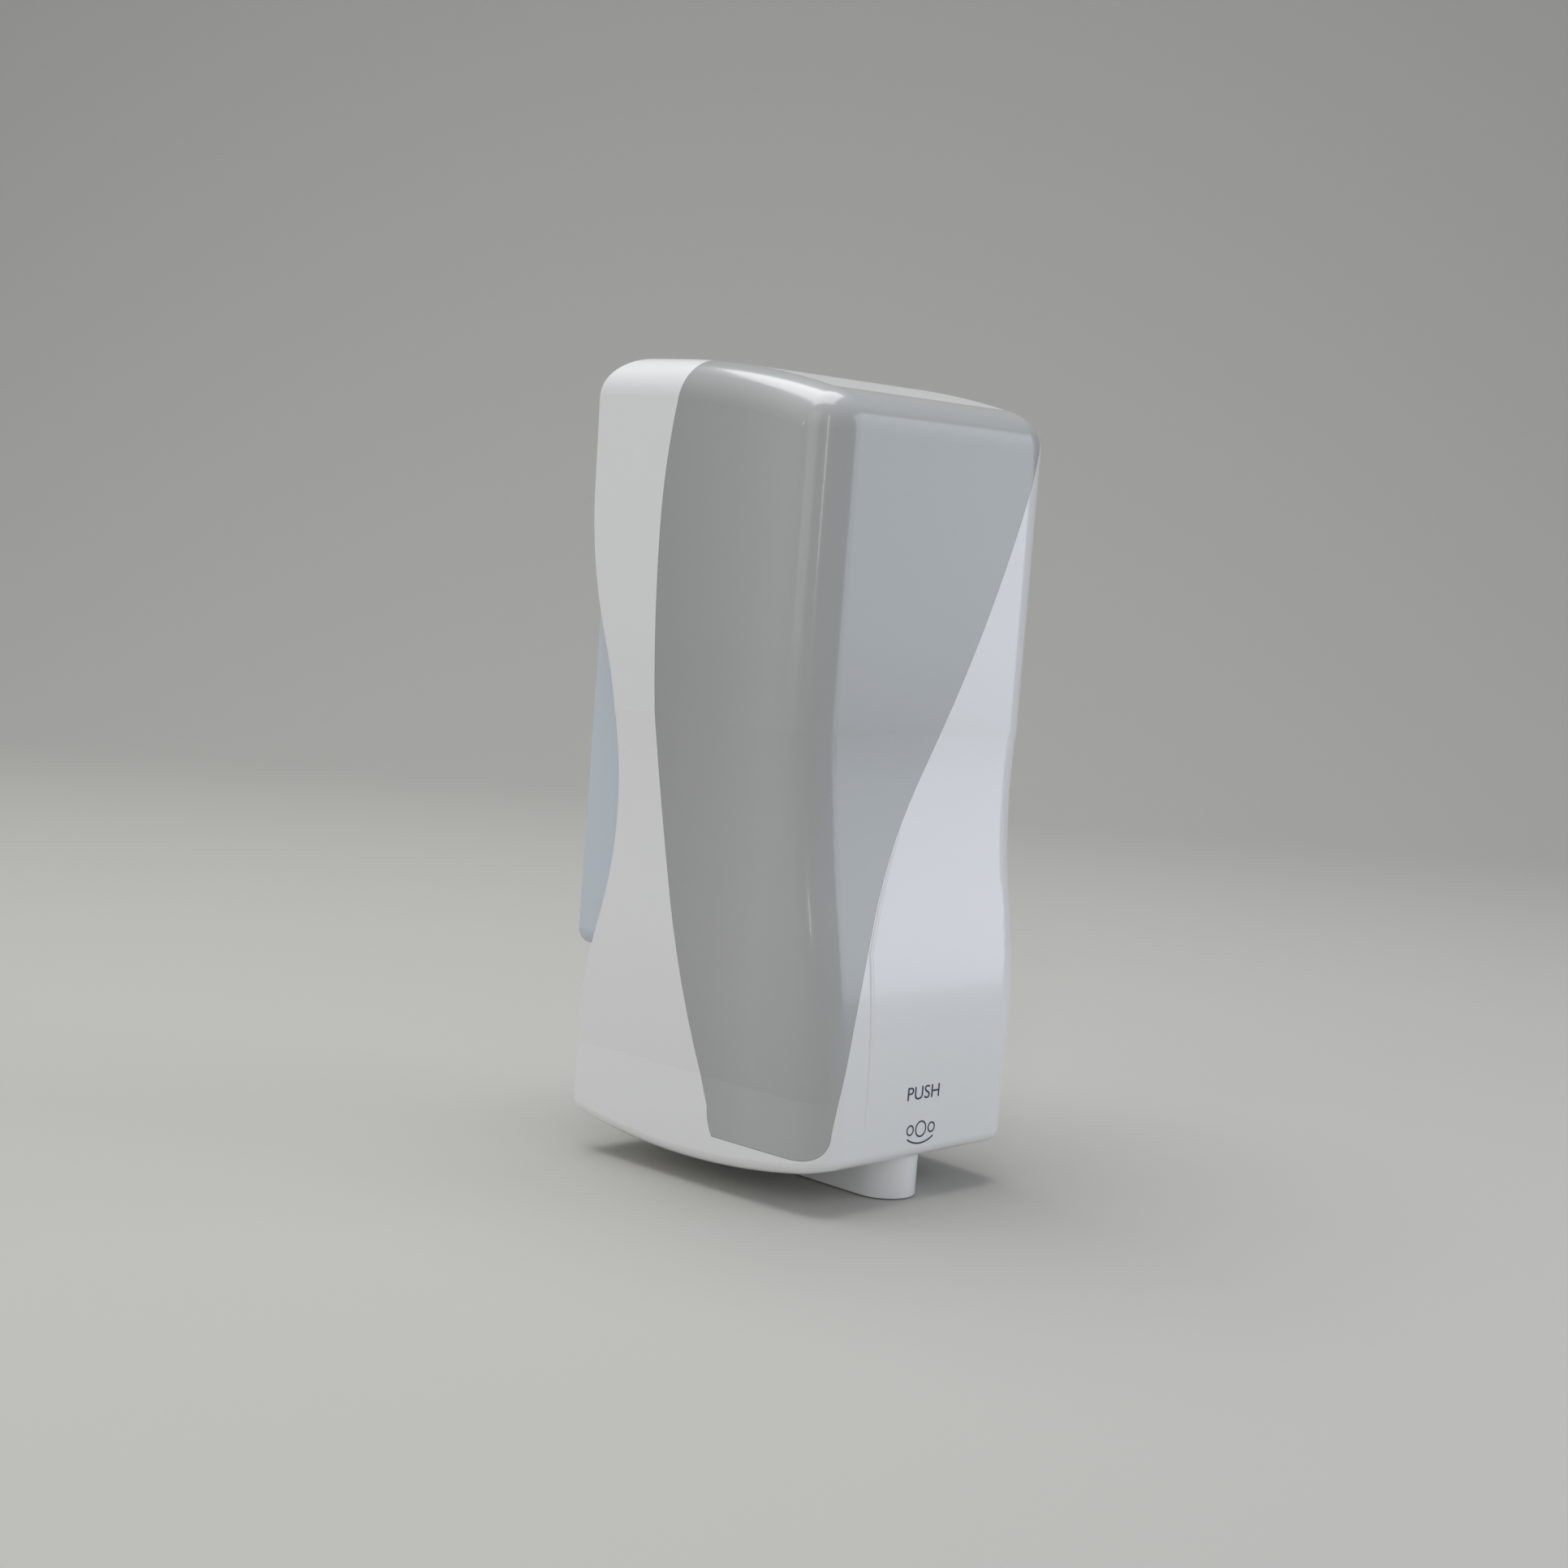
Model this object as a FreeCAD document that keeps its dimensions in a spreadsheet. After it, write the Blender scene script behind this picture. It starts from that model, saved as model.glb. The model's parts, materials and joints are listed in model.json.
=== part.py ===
"""Wall mounted foam soap dispenser, modelled as a parametric FreeCAD document.

The tall cover hangs from a rod at its top rear and is itself the push plate: a yoke behind it
works a rocker, which lifts the head of the pump under the refill bottle.

Frame: X across the wall, +Y into the wall, +Z up.  The origin is the centre of the four screw
holes, on the wall plane.  In the sheet a depth is measured out from the wall (so Y = -depth),
and a height is measured up from the lowest point of the cover's own floor.
"""
import FreeCAD, Part
import Sketcher
import math
import os

SIZES = {
    # mounting
    "mount_height": 155.0, "screw_span_across": 60.0, "screw_span_up": 100.0, "screw_hole": 2.6,
    # cover, overall
    "wall": 2.5, "half_width": 58.0, "front_taper": 7.0, "rear_taper": 3.0,
    "front_depth": 111.0, "toe_flare": 12.0, "flare_top": 150.0, "flare_low": 30.0,
    "hinge_depth": 15.5, "hinge_height": 255.3, "hinge_round": 15.0, "crown_depth": 28.0,
    "brow_height": 258.8, "keel_depth": 58.0, "toe_rise": 7.8, "heel_rise": 4.6,
    "edge_round": 13.5, "floor_round": 4.0, "heel_round": 9.0, "heel_dip": 1.6,
    # cover, rear rim seen from the side
    "rim_depth": 1.2, "rim_height": 228.0, "waist_depth": 22.4,
    "waist_height": 118.0, "heel_depth": 8.1, "heel_height": 28.0,
    # inlay panel
    "seam_gap": 0.15, "seam_top_x": 50.0, "seam_top_height": 250.0, "seam_run_out": 17.0,
    "seam_mid_x": -3.5, "seam_mid_height": 132.6, "seam_foot_x": -43.9,
    "seam_foot_height": 20.0, "seam_upper_radius": 448.0, "seam_lower_radius": 268.0,
    "seam_corner": 9.0, "panel_rear_depth": 35.4, "panel_rear_height": 213.0,
    "panel_brow_depth": 43.3, "panel_heel_depth": 72.6, "panel_heel_height": 20.0,
    "panel_heel_round": 17.5, "panel_sole_depth": 84.0, "panel_lip": 2.6,
    "top_seam_inset": 14.0, "clip_width": 14.0, "clip_tall": 8.0, "clip_thick": 1.5,
    "clip_low": 170.0, "clip_mid": 205.0, "clip_high": 235.0, "front_clip_low_x": 18.5,
    "front_clip_mid_x": 35.5,
    # outlet collar
    "outlet_depth": 103.0, "outlet_half": 9.5, "outlet_front": 14.5, "collar_wall": 2.0,
    "collar_drop": 7.7, "collar_rise": 10.0, "collar_rear_depth": 76.0,
    # back plate
    "plate_half": 51.4, "plate_low": 63.6, "plate_top": 238.5, "plate_depth": 26.0,
    "plate_wall": 3.0, "flange_wall": 2.0, "plate_corner": 6.0, "plate_edge": 2.0,
    "ear_x": 30.0, "ear_thick": 4.0, "ear_ring": 7.5, "ear_foot": 215.0, "ear_step": 9.0,
    # hinge
    "rod_radius": 2.5, "rod_half": 54.0, "running_gap": 0.06, "boss_radius": 6.0, "boss_x": 49.8,
    "clip_ring_radius": 4.5, "clip_ring_thick": 1.0, "bush_wall": 1.5,
    "spring_coil_radius": 4.4, "spring_wire": 0.6, "spring_pitch": 1.6, "spring_turns": 4.0,
    "spring_leg": 10.0, "spring_x": 35.2,
    # push yoke
    "arm_x": 44.5, "arm_thick": 4.0, "arm_rear_depth": 38.0, "arm_front_depth": 52.0,
    "arm_foot": 16.0, "foot_depth": 72.0, "foot_height": 36.0, "yoke_ring": 7.5,
    "crossbar_depth": 38.0, "crossbar_low": 24.0, "crossbar_tall": 8.0, "lug_radius": 3.0,
    "lug_height": 76.0, "lug_x": 40.7, "slot_rear_depth": 46.0, "slot_front_depth": 65.5,
    "slot_low": 20.4, "slot_tall": 6.0, "pad_thick": 2.0, "pad_tall": 24.0, "pad_height": 46.0,
    "seat_gap": 0.3,
    # rocker
    "pivot_depth": 43.0, "pivot_height": 50.0, "pivot_radius": 2.0, "rocker_x": 40.5,
    "rocker_thick": 3.0, "rocker_half": 3.0, "rocker_top": 80.0, "finger_x": 9.0,
    "finger_wide": 4.0, "rocker_bar_depth": 71.0, "nub_radius": 2.5,
    # cradle
    "cradle_half": 24.0, "shelf_height": 84.0, "shelf_thick": 4.0, "shelf_depth": 98.0,
    "cradle_low": 66.5, "cradle_top": 112.0, "cheek_x": 36.0, "cheek_thick": 3.5,
    "cradle_screw_x": 17.0, "cradle_screw_low": 73.0, "cradle_screw_high": 104.0,
    "cradle_screw_radius": 1.7, "cradle_head_radius": 3.4, "cradle_head_tall": 1.8,
    # refill bottle and pump
    "pump_depth": 82.0, "bottle_half": 40.0, "bottle_rear_depth": 12.0,
    "bottle_front_depth": 100.0, "bottle_low": 122.0, "bottle_top": 232.0, "bottle_round": 14.0,
    "bottle_wall": 1.5, "neck_radius": 17.2, "neck_low": 95.8, "collar_radius": 19.5,
    "collar_low": 88.3, "collar_tall": 22.0, "collar_floor": 3.0, "collar_fit": 0.2,
    "cylinder_radius": 13.0, "cylinder_bore": 10.0, "cylinder_low": 58.0, "cylinder_top": 104.0,
    "cylinder_end": 4.0, "cylinder_flange": 16.6, "flange_thick": 3.0, "gasket_thick": 1.2,
    "inlet_radius": 2.0, "ball_radius": 3.0, "cage_radius": 7.0, "cage_tall": 9.0,
    "stem_radius": 6.0, "stem_bore": 3.6, "head_radius": 17.0, "head_low": 46.0,
    "head_thick": 3.0, "piston_low": 66.0, "piston_tall": 6.0, "piston_fit": 0.1,
    "seal_width": 2.2, "seal_depth": 1.6, "pump_spring_mean": 7.6, "pump_spring_wire": 0.7,
    "pump_spring_turns": 5.0, "spout_radius": 5.0, "spout_bore": 3.4, "spout_height": 36.0,
    "tip_radius": 6.0, "tip_low": -2.0, "tip_tall": 14.0, "screen_radius": 3.5,
    "screen_thick": 0.8,
    # lock
    "lock_x": 33.0, "lock_depth": 62.0, "lock_radius": 7.0, "bezel_radius": 9.0,
    "bezel_low": -1.4, "bezel_high": -0.1, "lock_top": 20.9, "lock_core": 5.0,
    "lock_fit": 0.05, "core_top": 21.2, "tongue_reach": 14.5, "tongue_half": 3.0,
    "tongue_thick": 2.4, "nut_radius": 9.0, "nut_low": 3.0, "nut_tall": 3.0,
    "keyway_wide": 1.4, "keyway_long": 6.0, "keyway_deep": 8.0, "tongue_screw_radius": 2.6,
    "tongue_screw_tall": 1.4,
}

AXIS_TURN = {"X": ("Y", 90), "Y": ("X", -90), "Z": ("Z", 0)}

doc = FreeCAD.newDocument("SoapDispenser")
sheet = doc.addObject("Spreadsheet::Sheet", "Sizes")


class Size:
    """A length held twice: as its number now, and as the sheet expression that gives it."""

    def __init__(self, value, text):
        self.value = value
        self.text = text

    @staticmethod
    def of(thing):
        return thing if isinstance(thing, Size) else Size(float(thing), repr(float(thing)))

    def join(self, other, sign, value):
        return Size(value, "(%s %s %s)" % (self.text, sign, Size.of(other).text))

    def __add__(self, other):
        return self.join(other, "+", self.value + Size.of(other).value)

    def __sub__(self, other):
        return self.join(other, "-", self.value - Size.of(other).value)

    def __mul__(self, other):
        return self.join(other, "*", self.value * Size.of(other).value)

    def __truediv__(self, other):
        return self.join(other, "/", self.value / Size.of(other).value)

    def __radd__(self, other):
        return Size.of(other) + self

    def __rsub__(self, other):
        return Size.of(other) - self

    def __rmul__(self, other):
        return Size.of(other) * self

    def __neg__(self):
        return Size.of(0) - self


def fill_sheet():
    """Write each driving size as a plain number with an alias."""
    for row, (alias, value) in enumerate(SIZES.items(), start=1):
        sheet.set("A%d" % row, alias)
        sheet.set("B%d" % row, str(value))
        sheet.setAlias("B%d" % row, alias)
    doc.recompute()


def size(alias):
    return Size(SIZES[alias], "Sizes." + alias)


def up(alias):
    """Z of a height that is measured from the lowest point of the cover's floor."""
    height = size(alias) if isinstance(alias, str) else Size.of(alias)
    return height - size("mount_height")


def out(alias):
    """Y of a depth that is measured out from the wall."""
    depth = size(alias) if isinstance(alias, str) else Size.of(alias)
    return -depth


def toe_depth():
    """Depth of the cover at the foot of its flared front."""
    return size("front_depth") + size("toe_flare")


# ---------------------------------------------------------------- plain solids and booleans

def place(thing, x, y, z):
    for axis, value in zip("xyz", (x, y, z)):
        thing.setExpression("Placement.Base." + axis, Size.of(value).text)


def block(name, x, y, z):
    """Box between two limits on each axis, each given as (low, high)."""
    box = doc.addObject("Part::Box", name)
    for side, (low, high) in zip(("Length", "Width", "Height"), (x, y, z)):
        box.setExpression(side, (Size.of(high) - low).text)
    place(box, x[0], y[0], z[0])
    return box


def rod(name, axis, centre, radius, low, high):
    """Cylinder along an axis; centre holds the two other coordinates in X, Y, Z order."""
    cylinder = doc.addObject("Part::Cylinder", name)
    cylinder.setExpression("Radius", Size.of(radius).text)
    cylinder.setExpression("Height", (Size.of(high) - low).text)
    turn_axis, angle = AXIS_TURN[axis]
    turn = FreeCAD.Vector(*[1 if letter == turn_axis else 0 for letter in "XYZ"])
    cylinder.Placement = FreeCAD.Placement(FreeCAD.Vector(), FreeCAD.Rotation(turn, angle))
    spot = list(centre)
    spot.insert("XYZ".index(axis), low)
    place(cylinder, *spot)
    return cylinder


def cut(name, base, *tools):
    for count, tool in enumerate(tools):
        last = count == len(tools) - 1
        result = doc.addObject("Part::Cut", name if last else "%s_cut_%d" % (name, count))
        result.Base, result.Tool = base, tool
        base = result
    return base


def fuse(name, *pieces):
    result = doc.addObject("Part::MultiFuse", name)
    result.Shapes = list(pieces)
    result.Refine = True
    return result


def common(name, *pieces):
    result = doc.addObject("Part::MultiCommon", name)
    result.Shapes = list(pieces)
    return result


def group(name, *pieces):
    """Several separate solids kept as one sub-part."""
    result = doc.addObject("Part::Compound", name)
    result.Links = list(pieces)
    return result


# ---------------------------------------------------------------- sketches and bodies

def line_to(x, y):
    return ("line", Size.of(x), Size.of(y), None, 0)


def arc_to(x, y, radius, turn):
    """Arc of less than half a circle; turn is +1 to bend left along the way and -1 right."""
    return ("arc", Size.of(x), Size.of(y), Size.of(radius), turn)


def s_curve(start, end, first_turn):
    """Two equal arcs between points with upright tangents, bending one way then the other."""
    (x0, y0), (x1, y1) = start, end
    rise, shift = y1 - y0, x1 - x0
    radius = (rise * rise + shift * shift) / (4.0 * shift)
    if radius.value < 0:
        radius = -radius
    middle = ((x0 + x1) / 2.0, (y0 + y1) / 2.0)
    return [arc_to(*middle, radius, first_turn), arc_to(x1, y1, radius, -first_turn)]


def arc_piece(start, end, radius, turn):
    """The circle arc from start to end, as Sketcher keeps it: always counter-clockwise."""
    chord = end - start
    reach = math.sqrt(radius * radius - chord.Length * chord.Length / 4.0)
    left = FreeCAD.Vector(-chord.y, chord.x, 0).normalize()
    centre = (start + end) / 2.0 + left * (reach * turn)
    first, last = (start, end) if turn > 0 else (end, start)
    angles = [math.atan2(p.y - centre.y, p.x - centre.x) for p in (first, last)]
    circle = Part.Circle(centre, FreeCAD.Vector(0, 0, 1), radius)
    return Part.ArcOfCircle(circle, angles[0], angles[1])


def fix_value(sketch, label, kind, where, value):
    """Add a constraint that holds a value, and bind it to the sheet."""
    full = "%s_%s" % (label, kind)
    number = sketch.addConstraint(Sketcher.Constraint(kind, *where, value.value))
    sketch.renameConstraint(number, full)
    sketch.setExpression("Constraints." + full, value.text)


def plane_of(body, role):
    return next(item for item in body.Origin.OriginFeatures if item.Role == role)


def outline(body, name, role, offset, start, steps):
    """Closed sketch on a plane of the body's origin; every corner and radius is bound."""
    sketch = body.newObject("Sketcher::SketchObject", name)
    sketch.AttachmentSupport = [(plane_of(body, role), "")]
    sketch.MapMode = "FlatFace"
    sketch.setExpression("AttachmentOffset.Base.z", Size.of(offset).text)
    corners = [(Size.of(start[0]), Size.of(start[1]))] + [(s[1], s[2]) for s in steps]
    if len(steps) and (corners[-1][0].value, corners[-1][1].value) != \
            (corners[0][0].value, corners[0][1].value):
        steps = steps + [line_to(*corners[0])]
        corners.append(corners[0])
    ends = []
    for count, (kind, _, _, radius, turn) in enumerate(steps):
        here, there = (FreeCAD.Vector(c[0].value, c[1].value, 0)
                       for c in corners[count:count + 2])
        if kind == "line":
            geometry, order = Part.LineSegment(here, there), (1, 2)
        else:
            geometry = arc_piece(here, there, radius.value, turn)
            order = (1, 2) if turn > 0 else (2, 1)
        sketch.addGeometry(geometry, False)
        ends.append((count, order[0], order[1]))
    for count, (index, first, _) in enumerate(ends):
        before, _, last = ends[count - 1]
        sketch.addConstraint(Sketcher.Constraint("Coincident", before, last, index, first))
        fix_value(sketch, "p%d" % count, "DistanceX", (-1, 1, index, first), corners[count][0])
        fix_value(sketch, "p%d" % count, "DistanceY", (-1, 1, index, first), corners[count][1])
        if steps[count][0] == "arc":
            fix_value(sketch, "p%d" % count, "Radius", (index,), steps[count][3])
    return sketch


def holes_outline(body, name, role, offset, circles):
    """Sketch of full circles, each given as (x, y, radius)."""
    sketch = body.newObject("Sketcher::SketchObject", name)
    sketch.AttachmentSupport = [(plane_of(body, role), "")]
    sketch.MapMode = "FlatFace"
    sketch.setExpression("AttachmentOffset.Base.z", Size.of(offset).text)
    for count, (x, y, radius) in enumerate(circles):
        x, y, radius = Size.of(x), Size.of(y), Size.of(radius)
        centre = FreeCAD.Vector(x.value, y.value, 0)
        sketch.addGeometry(Part.Circle(centre, FreeCAD.Vector(0, 0, 1), radius.value), False)
        fix_value(sketch, "c%d" % count, "DistanceX", (-1, 1, count, 3), x)
        fix_value(sketch, "c%d" % count, "DistanceY", (-1, 1, count, 3), y)
        fix_value(sketch, "c%d" % count, "Radius", (count,), radius)
    return sketch


def new_body(name):
    return doc.addObject("PartDesign::Body", name)


def extrude(body, kind, name, sketch, length, reverse=False):
    """Pad or Pocket of a bound length."""
    feature = body.newObject("PartDesign::" + kind, name)
    feature.Profile = sketch
    feature.setExpression("Length", Size.of(length).text)
    feature.Reversed = reverse
    return feature


def round_edges(body, name, radius, wanted):
    """Fillet each edge of the body's present shape that the test picks."""
    doc.recompute()
    base = body.Tip
    picked = ["Edge%d" % (i + 1) for i, edge in enumerate(base.Shape.Edges) if wanted(edge)]
    feature = body.newObject("PartDesign::Fillet", name)
    feature.Base = (base, picked)
    feature.setExpression("Radius", Size.of(radius).text)
    return feature


def middle_of(edge):
    return edge.valueAt((edge.FirstParameter + edge.LastParameter) / 2.0)


# ---------------------------------------------------------------- cover

BEHIND = 12.0    # how far behind the wall plane the cover's forms run before they are cut
FAR_LOW, FAR_HIGH, FAR_SIDE = -60.0, 320.0, 80.0    # limits well outside the cover


def side_profile(inset):
    """Outline of the cover seen from the side, in (Y, Z), inset by a wall and open-ended behind."""
    crown_z, keel = up("hinge_height") + size("hinge_round") - inset, up(inset)
    brow_z = up("brow_height") - inset
    front, toe = out("front_depth") + inset, out(toe_depth()) + inset
    toe_z, heel_z = up("toe_rise") + inset, up("heel_rise") + inset
    drop, span = crown_z - brow_z, size("front_depth") - size("crown_depth") - inset
    crown_radius = (drop * drop + span * span) / (2.0 * drop)
    rise, run = toe_z - keel, toe_depth() - size("keel_depth") - inset
    toe_radius = (rise * rise + run * run) / (2.0 * rise)
    lift, back = heel_z - keel, size("keel_depth") - size("heel_depth")
    heel_radius = (lift * lift + back * back) / (2.0 * lift)
    start = (BEHIND, crown_z)
    return start, [line_to(out("crown_depth"), crown_z), arc_to(front, brow_z, crown_radius, 1),
                   line_to(front, up("flare_top"))] \
        + s_curve((front, up("flare_top")), (toe, up("flare_low")), -1) \
        + [line_to(toe, toe_z), arc_to(out("keel_depth"), keel, toe_radius, 1),
           arc_to(out("heel_depth"), heel_z, heel_radius, 1), line_to(BEHIND, heel_z)]


def rear_profile(inset):
    """What lies behind the cover's rear rim, in (Y, Z): hinge corner, waist and heel."""
    round_off = size("hinge_round") - inset
    hinge, hinge_z = out("hinge_depth"), up("hinge_height")
    corner = arc_to(hinge + round_off, hinge_z, round_off, -1)
    start = (hinge, hinge_z + round_off)
    above = [line_to(FAR_SIDE, FAR_HIGH), line_to(hinge, FAR_HIGH)]
    if Size.of(inset).value > 0:
        return start, [corner, line_to(FAR_SIDE, hinge_z)] + above
    rim, waist, heel = out("rim_depth"), out("waist_depth"), out("heel_depth")
    heel_low = up("heel_rise") - size("heel_dip")
    return start, [corner, line_to(rim, up("rim_height"))] \
        + s_curve((rim, up("rim_height")), (waist, up("waist_height")), -1) \
        + s_curve((waist, up("waist_height")), (heel, up("heel_height")), 1) \
        + [line_to(heel, heel_low + size("heel_round")),
           arc_to(heel - size("heel_round"), heel_low, size("heel_round"), -1),
           line_to(heel - size("heel_round"), up(FAR_LOW)), line_to(FAR_SIDE, up(FAR_LOW))] \
        + above


def flank_profile(half_low, inset):
    """Everything outside the right flank of the cover, in (X, Z), for one depth."""
    foot, head = half_low - inset, size("half_width") - inset
    return (FAR_SIDE, up(FAR_LOW)), [line_to(FAR_SIDE, up(FAR_HIGH)),
                                     line_to(head, up(FAR_HIGH)), line_to(head, up("flare_top"))] \
        + s_curve((head, up("flare_top")), (foot, up("flare_low")), 1) \
        + [line_to(foot, up(FAR_LOW))]


def flip(profile):
    """The same outline on the other side of the centre plane."""
    start, steps = profile
    return (-Size.of(start[0]), start[1]), [(kind, -x, y, radius, -turn)
                                            for kind, x, y, radius, turn in steps]


def cover_form(name, inset):
    """Solid bounded by the cover's outside, or by its inside when inset by the wall."""
    body = new_body(name)
    side = outline(body, name + "_side", "YZ_Plane", -FAR_SIDE, *side_profile(inset))
    extrude(body, "Pad", name + "_pad", side, 2.0 * FAR_SIDE)
    for flank in ("right", "left"):
        sketches = []
        for station, depth, taper in (("rear", Size.of(-BEHIND - 1.0), "rear_taper"),
                                     ("front", toe_depth() + 1.0, "front_taper")):
            profile = flank_profile(size("half_width") - size(taper), inset)
            profile = flip(profile) if flank == "left" else profile
            sketches.append(outline(body, "%s_%s_%s" % (name, flank, station), "XZ_Plane",
                                    depth, *profile))
        loft = body.newObject("PartDesign::SubtractiveLoft", "%s_%s" % (name, flank))
        loft.Profile, loft.Sections, loft.Ruled = sketches[0], [sketches[1]], True
    round_edges(body, name + "_edges", size("edge_round") - inset, is_main_edge)
    if Size.of(inset).value == 0:
        round_edges(body, name + "_floor_edges", size("floor_round"), is_floor_edge)
    rear = outline(body, name + "_behind", "YZ_Plane", -FAR_SIDE, *rear_profile(inset))
    extrude(body, "Pocket", name + "_rim", rear, 2.0 * FAR_SIDE, True)
    return body


def is_floor_edge(edge):
    """Edges round the cover's floor, along its flanks and its front."""
    spot = middle_of(edge)
    height = spot.z + SIZES["mount_height"]
    flank = abs(spot.x) > SIZES["half_width"] / 2.0 and edge.BoundBox.YLength > 1.0
    front = -spot.y > SIZES["front_depth"]
    return height < SIZES["toe_rise"] + 0.5 and (flank or front)


def is_main_edge(edge):
    """Upright front corners, and the top's edges along both sides and the front."""
    spot = middle_of(edge)
    depth, height = -spot.y, spot.z + SIZES["mount_height"]
    near = 2 * SIZES["wall"]
    flank = abs(spot.x) > SIZES["half_width"] - SIZES["front_taper"] - near
    front = depth > SIZES["front_depth"] - near
    roof = height > SIZES["brow_height"] - near
    upright = flank and front and height > SIZES["toe_rise"] + near
    return upright or (roof and flank) or (roof and front)


def floor_radius():
    """Radius of the cover's floor between its keel and its toe."""
    rise, run = size("toe_rise"), toe_depth() - size("keel_depth")
    return (rise * rise + run * run) / (2.0 * rise)


def seam_front(name, grow):
    """What lies on the panel's side of the S-shaped seam, seen from the front."""
    body = new_body(name)
    low = up("toe_rise") + size("panel_lip") - grow
    foot, corner = size("seam_foot_x") + grow, size("seam_corner")
    mid, top = size("seam_mid_x") + grow, size("seam_top_x") + grow
    steps = [line_to(foot - corner, low), arc_to(foot, low + corner, corner, 1),
             line_to(foot, up("seam_foot_height")),
             arc_to(mid, up("seam_mid_height"), size("seam_lower_radius"), -1),
             arc_to(top, up("seam_top_height"), size("seam_upper_radius"), 1),
             line_to(top + size("seam_run_out"), up(FAR_HIGH)), line_to(-FAR_SIDE, up(FAR_HIGH)),
             line_to(-FAR_SIDE, up(FAR_LOW)), line_to(foot - corner, up(FAR_LOW))]
    sketch = outline(body, name + "_outline", "XZ_Plane", 0, (foot - corner, up(FAR_LOW)),
                     steps[:-1])
    extrude(body, "Pad", name + "_pad", sketch, 150.0)
    return body


def seam_side(name, grow):
    """What lies in front of the panel's rear edge and above its lower edge, from the side."""
    body = new_body(name)
    apex, apex_z = out("panel_rear_depth") + grow, up("panel_rear_height")
    brow, crown_z = out("panel_brow_depth") + grow, up("hinge_height") + size("hinge_round")
    heel, heel_z = out("panel_heel_depth") + grow, up("panel_heel_height")
    brow_shift, brow_rise = apex - brow, crown_z - apex_z
    brow_radius = (brow_shift * brow_shift + brow_rise * brow_rise) / (2.0 * brow_shift)
    shift, drop = apex - heel, apex_z - heel_z
    rear_radius = (shift * shift + drop * drop) / (2.0 * shift)
    sole = size("panel_sole_depth") - size("keel_depth")
    sole_z = up(sole * sole / (2.0 * floor_radius())) + size("panel_lip") - grow
    ahead = 10.0
    toe = toe_depth() + ahead - size("keel_depth")
    toe_z = up(toe * toe / (2.0 * floor_radius())) + size("panel_lip") - grow
    steps = [arc_to(apex, apex_z, brow_radius, -1), arc_to(heel, heel_z, rear_radius, -1),
             arc_to(out("panel_sole_depth"), sole_z, size("panel_heel_round"), -1),
             arc_to(out(toe_depth()) - ahead, toe_z, floor_radius(), -1),
             line_to(out(toe_depth()) - ahead, up(FAR_HIGH)), line_to(brow, up(FAR_HIGH))]
    sketch = outline(body, name + "_outline", "YZ_Plane", -FAR_SIDE, (brow, crown_z), steps)
    extrude(body, "Pad", name + "_pad", sketch, 2.0 * FAR_SIDE)
    return body


def panel_region(name, grow):
    """Space of the inlay panel; grown a little, it is the opening in the cover."""
    height = (up(FAR_LOW), up(FAR_HIGH))
    ahead = out(toe_depth()) - 10.0
    seam_x = size("top_seam_inset") - size("half_width") + grow
    seam_y = size("top_seam_inset") - size("front_depth") + grow
    flank = block(name + "_flank", (-FAR_SIDE, seam_x), (ahead, 0.0), height)
    face = block(name + "_face", (-FAR_SIDE, FAR_SIDE), (ahead, seam_y), height)
    return common(name, seam_front(name + "_front", grow), seam_side(name + "_side", grow),
                  fuse(name + "_plan", flank, face))


def mirrored(sign, low, high):
    """Limits along X on one side of the centre plane."""
    return (low, high) if sign > 0 else (-Size.of(high), -Size.of(low))


SIDES = (("right", 1), ("left", -1))


def hinge_rod_shape(name, radius, x):
    return rod(name, "X", (out("hinge_depth"), up("hinge_height")), radius, *x)


def outlet_way(name, half, rear, height):
    """Upright space of the outlet: round in front, straight-sided back to a depth."""
    front = out(size("outlet_depth") + size("outlet_front")) + size("outlet_half")
    end = rod(name + "_end", "Z", (0.0, front), half, *height)
    sides = block(name + "_sides", (-half, half), (front, rear), height)
    return fuse(name, end, sides)


def make_outlet_collar():
    """Lip round the outlet, set in the floor; open to the rear so that the cover swings clear."""
    half, height = size("outlet_half"), (up(-size("collar_drop")), up("collar_rise"))
    blank = outlet_way("collar_blank", half + size("collar_wall"), out("collar_rear_depth"),
                       height)
    bore = outlet_way("collar_bore_way", half, BEHIND, (height[0] - 1.0, height[1] + 1.0))
    cut("outlet_collar", blank, bore)


def push_rib(side, sign, outer):
    """Rib inside the flank that meets the yoke's pad."""
    rear = out(size("arm_front_depth") + size("pad_thick") + size("seat_gap"))
    bar = block("rib_bar_" + side, mirrored(sign, size("arm_x") + 1.0, FAR_SIDE),
                (rear - size("arm_thick"), rear),
                (up("pad_height"), up("pad_height") + size("pad_tall")))
    return common("rib_" + side, bar, outer)


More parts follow.
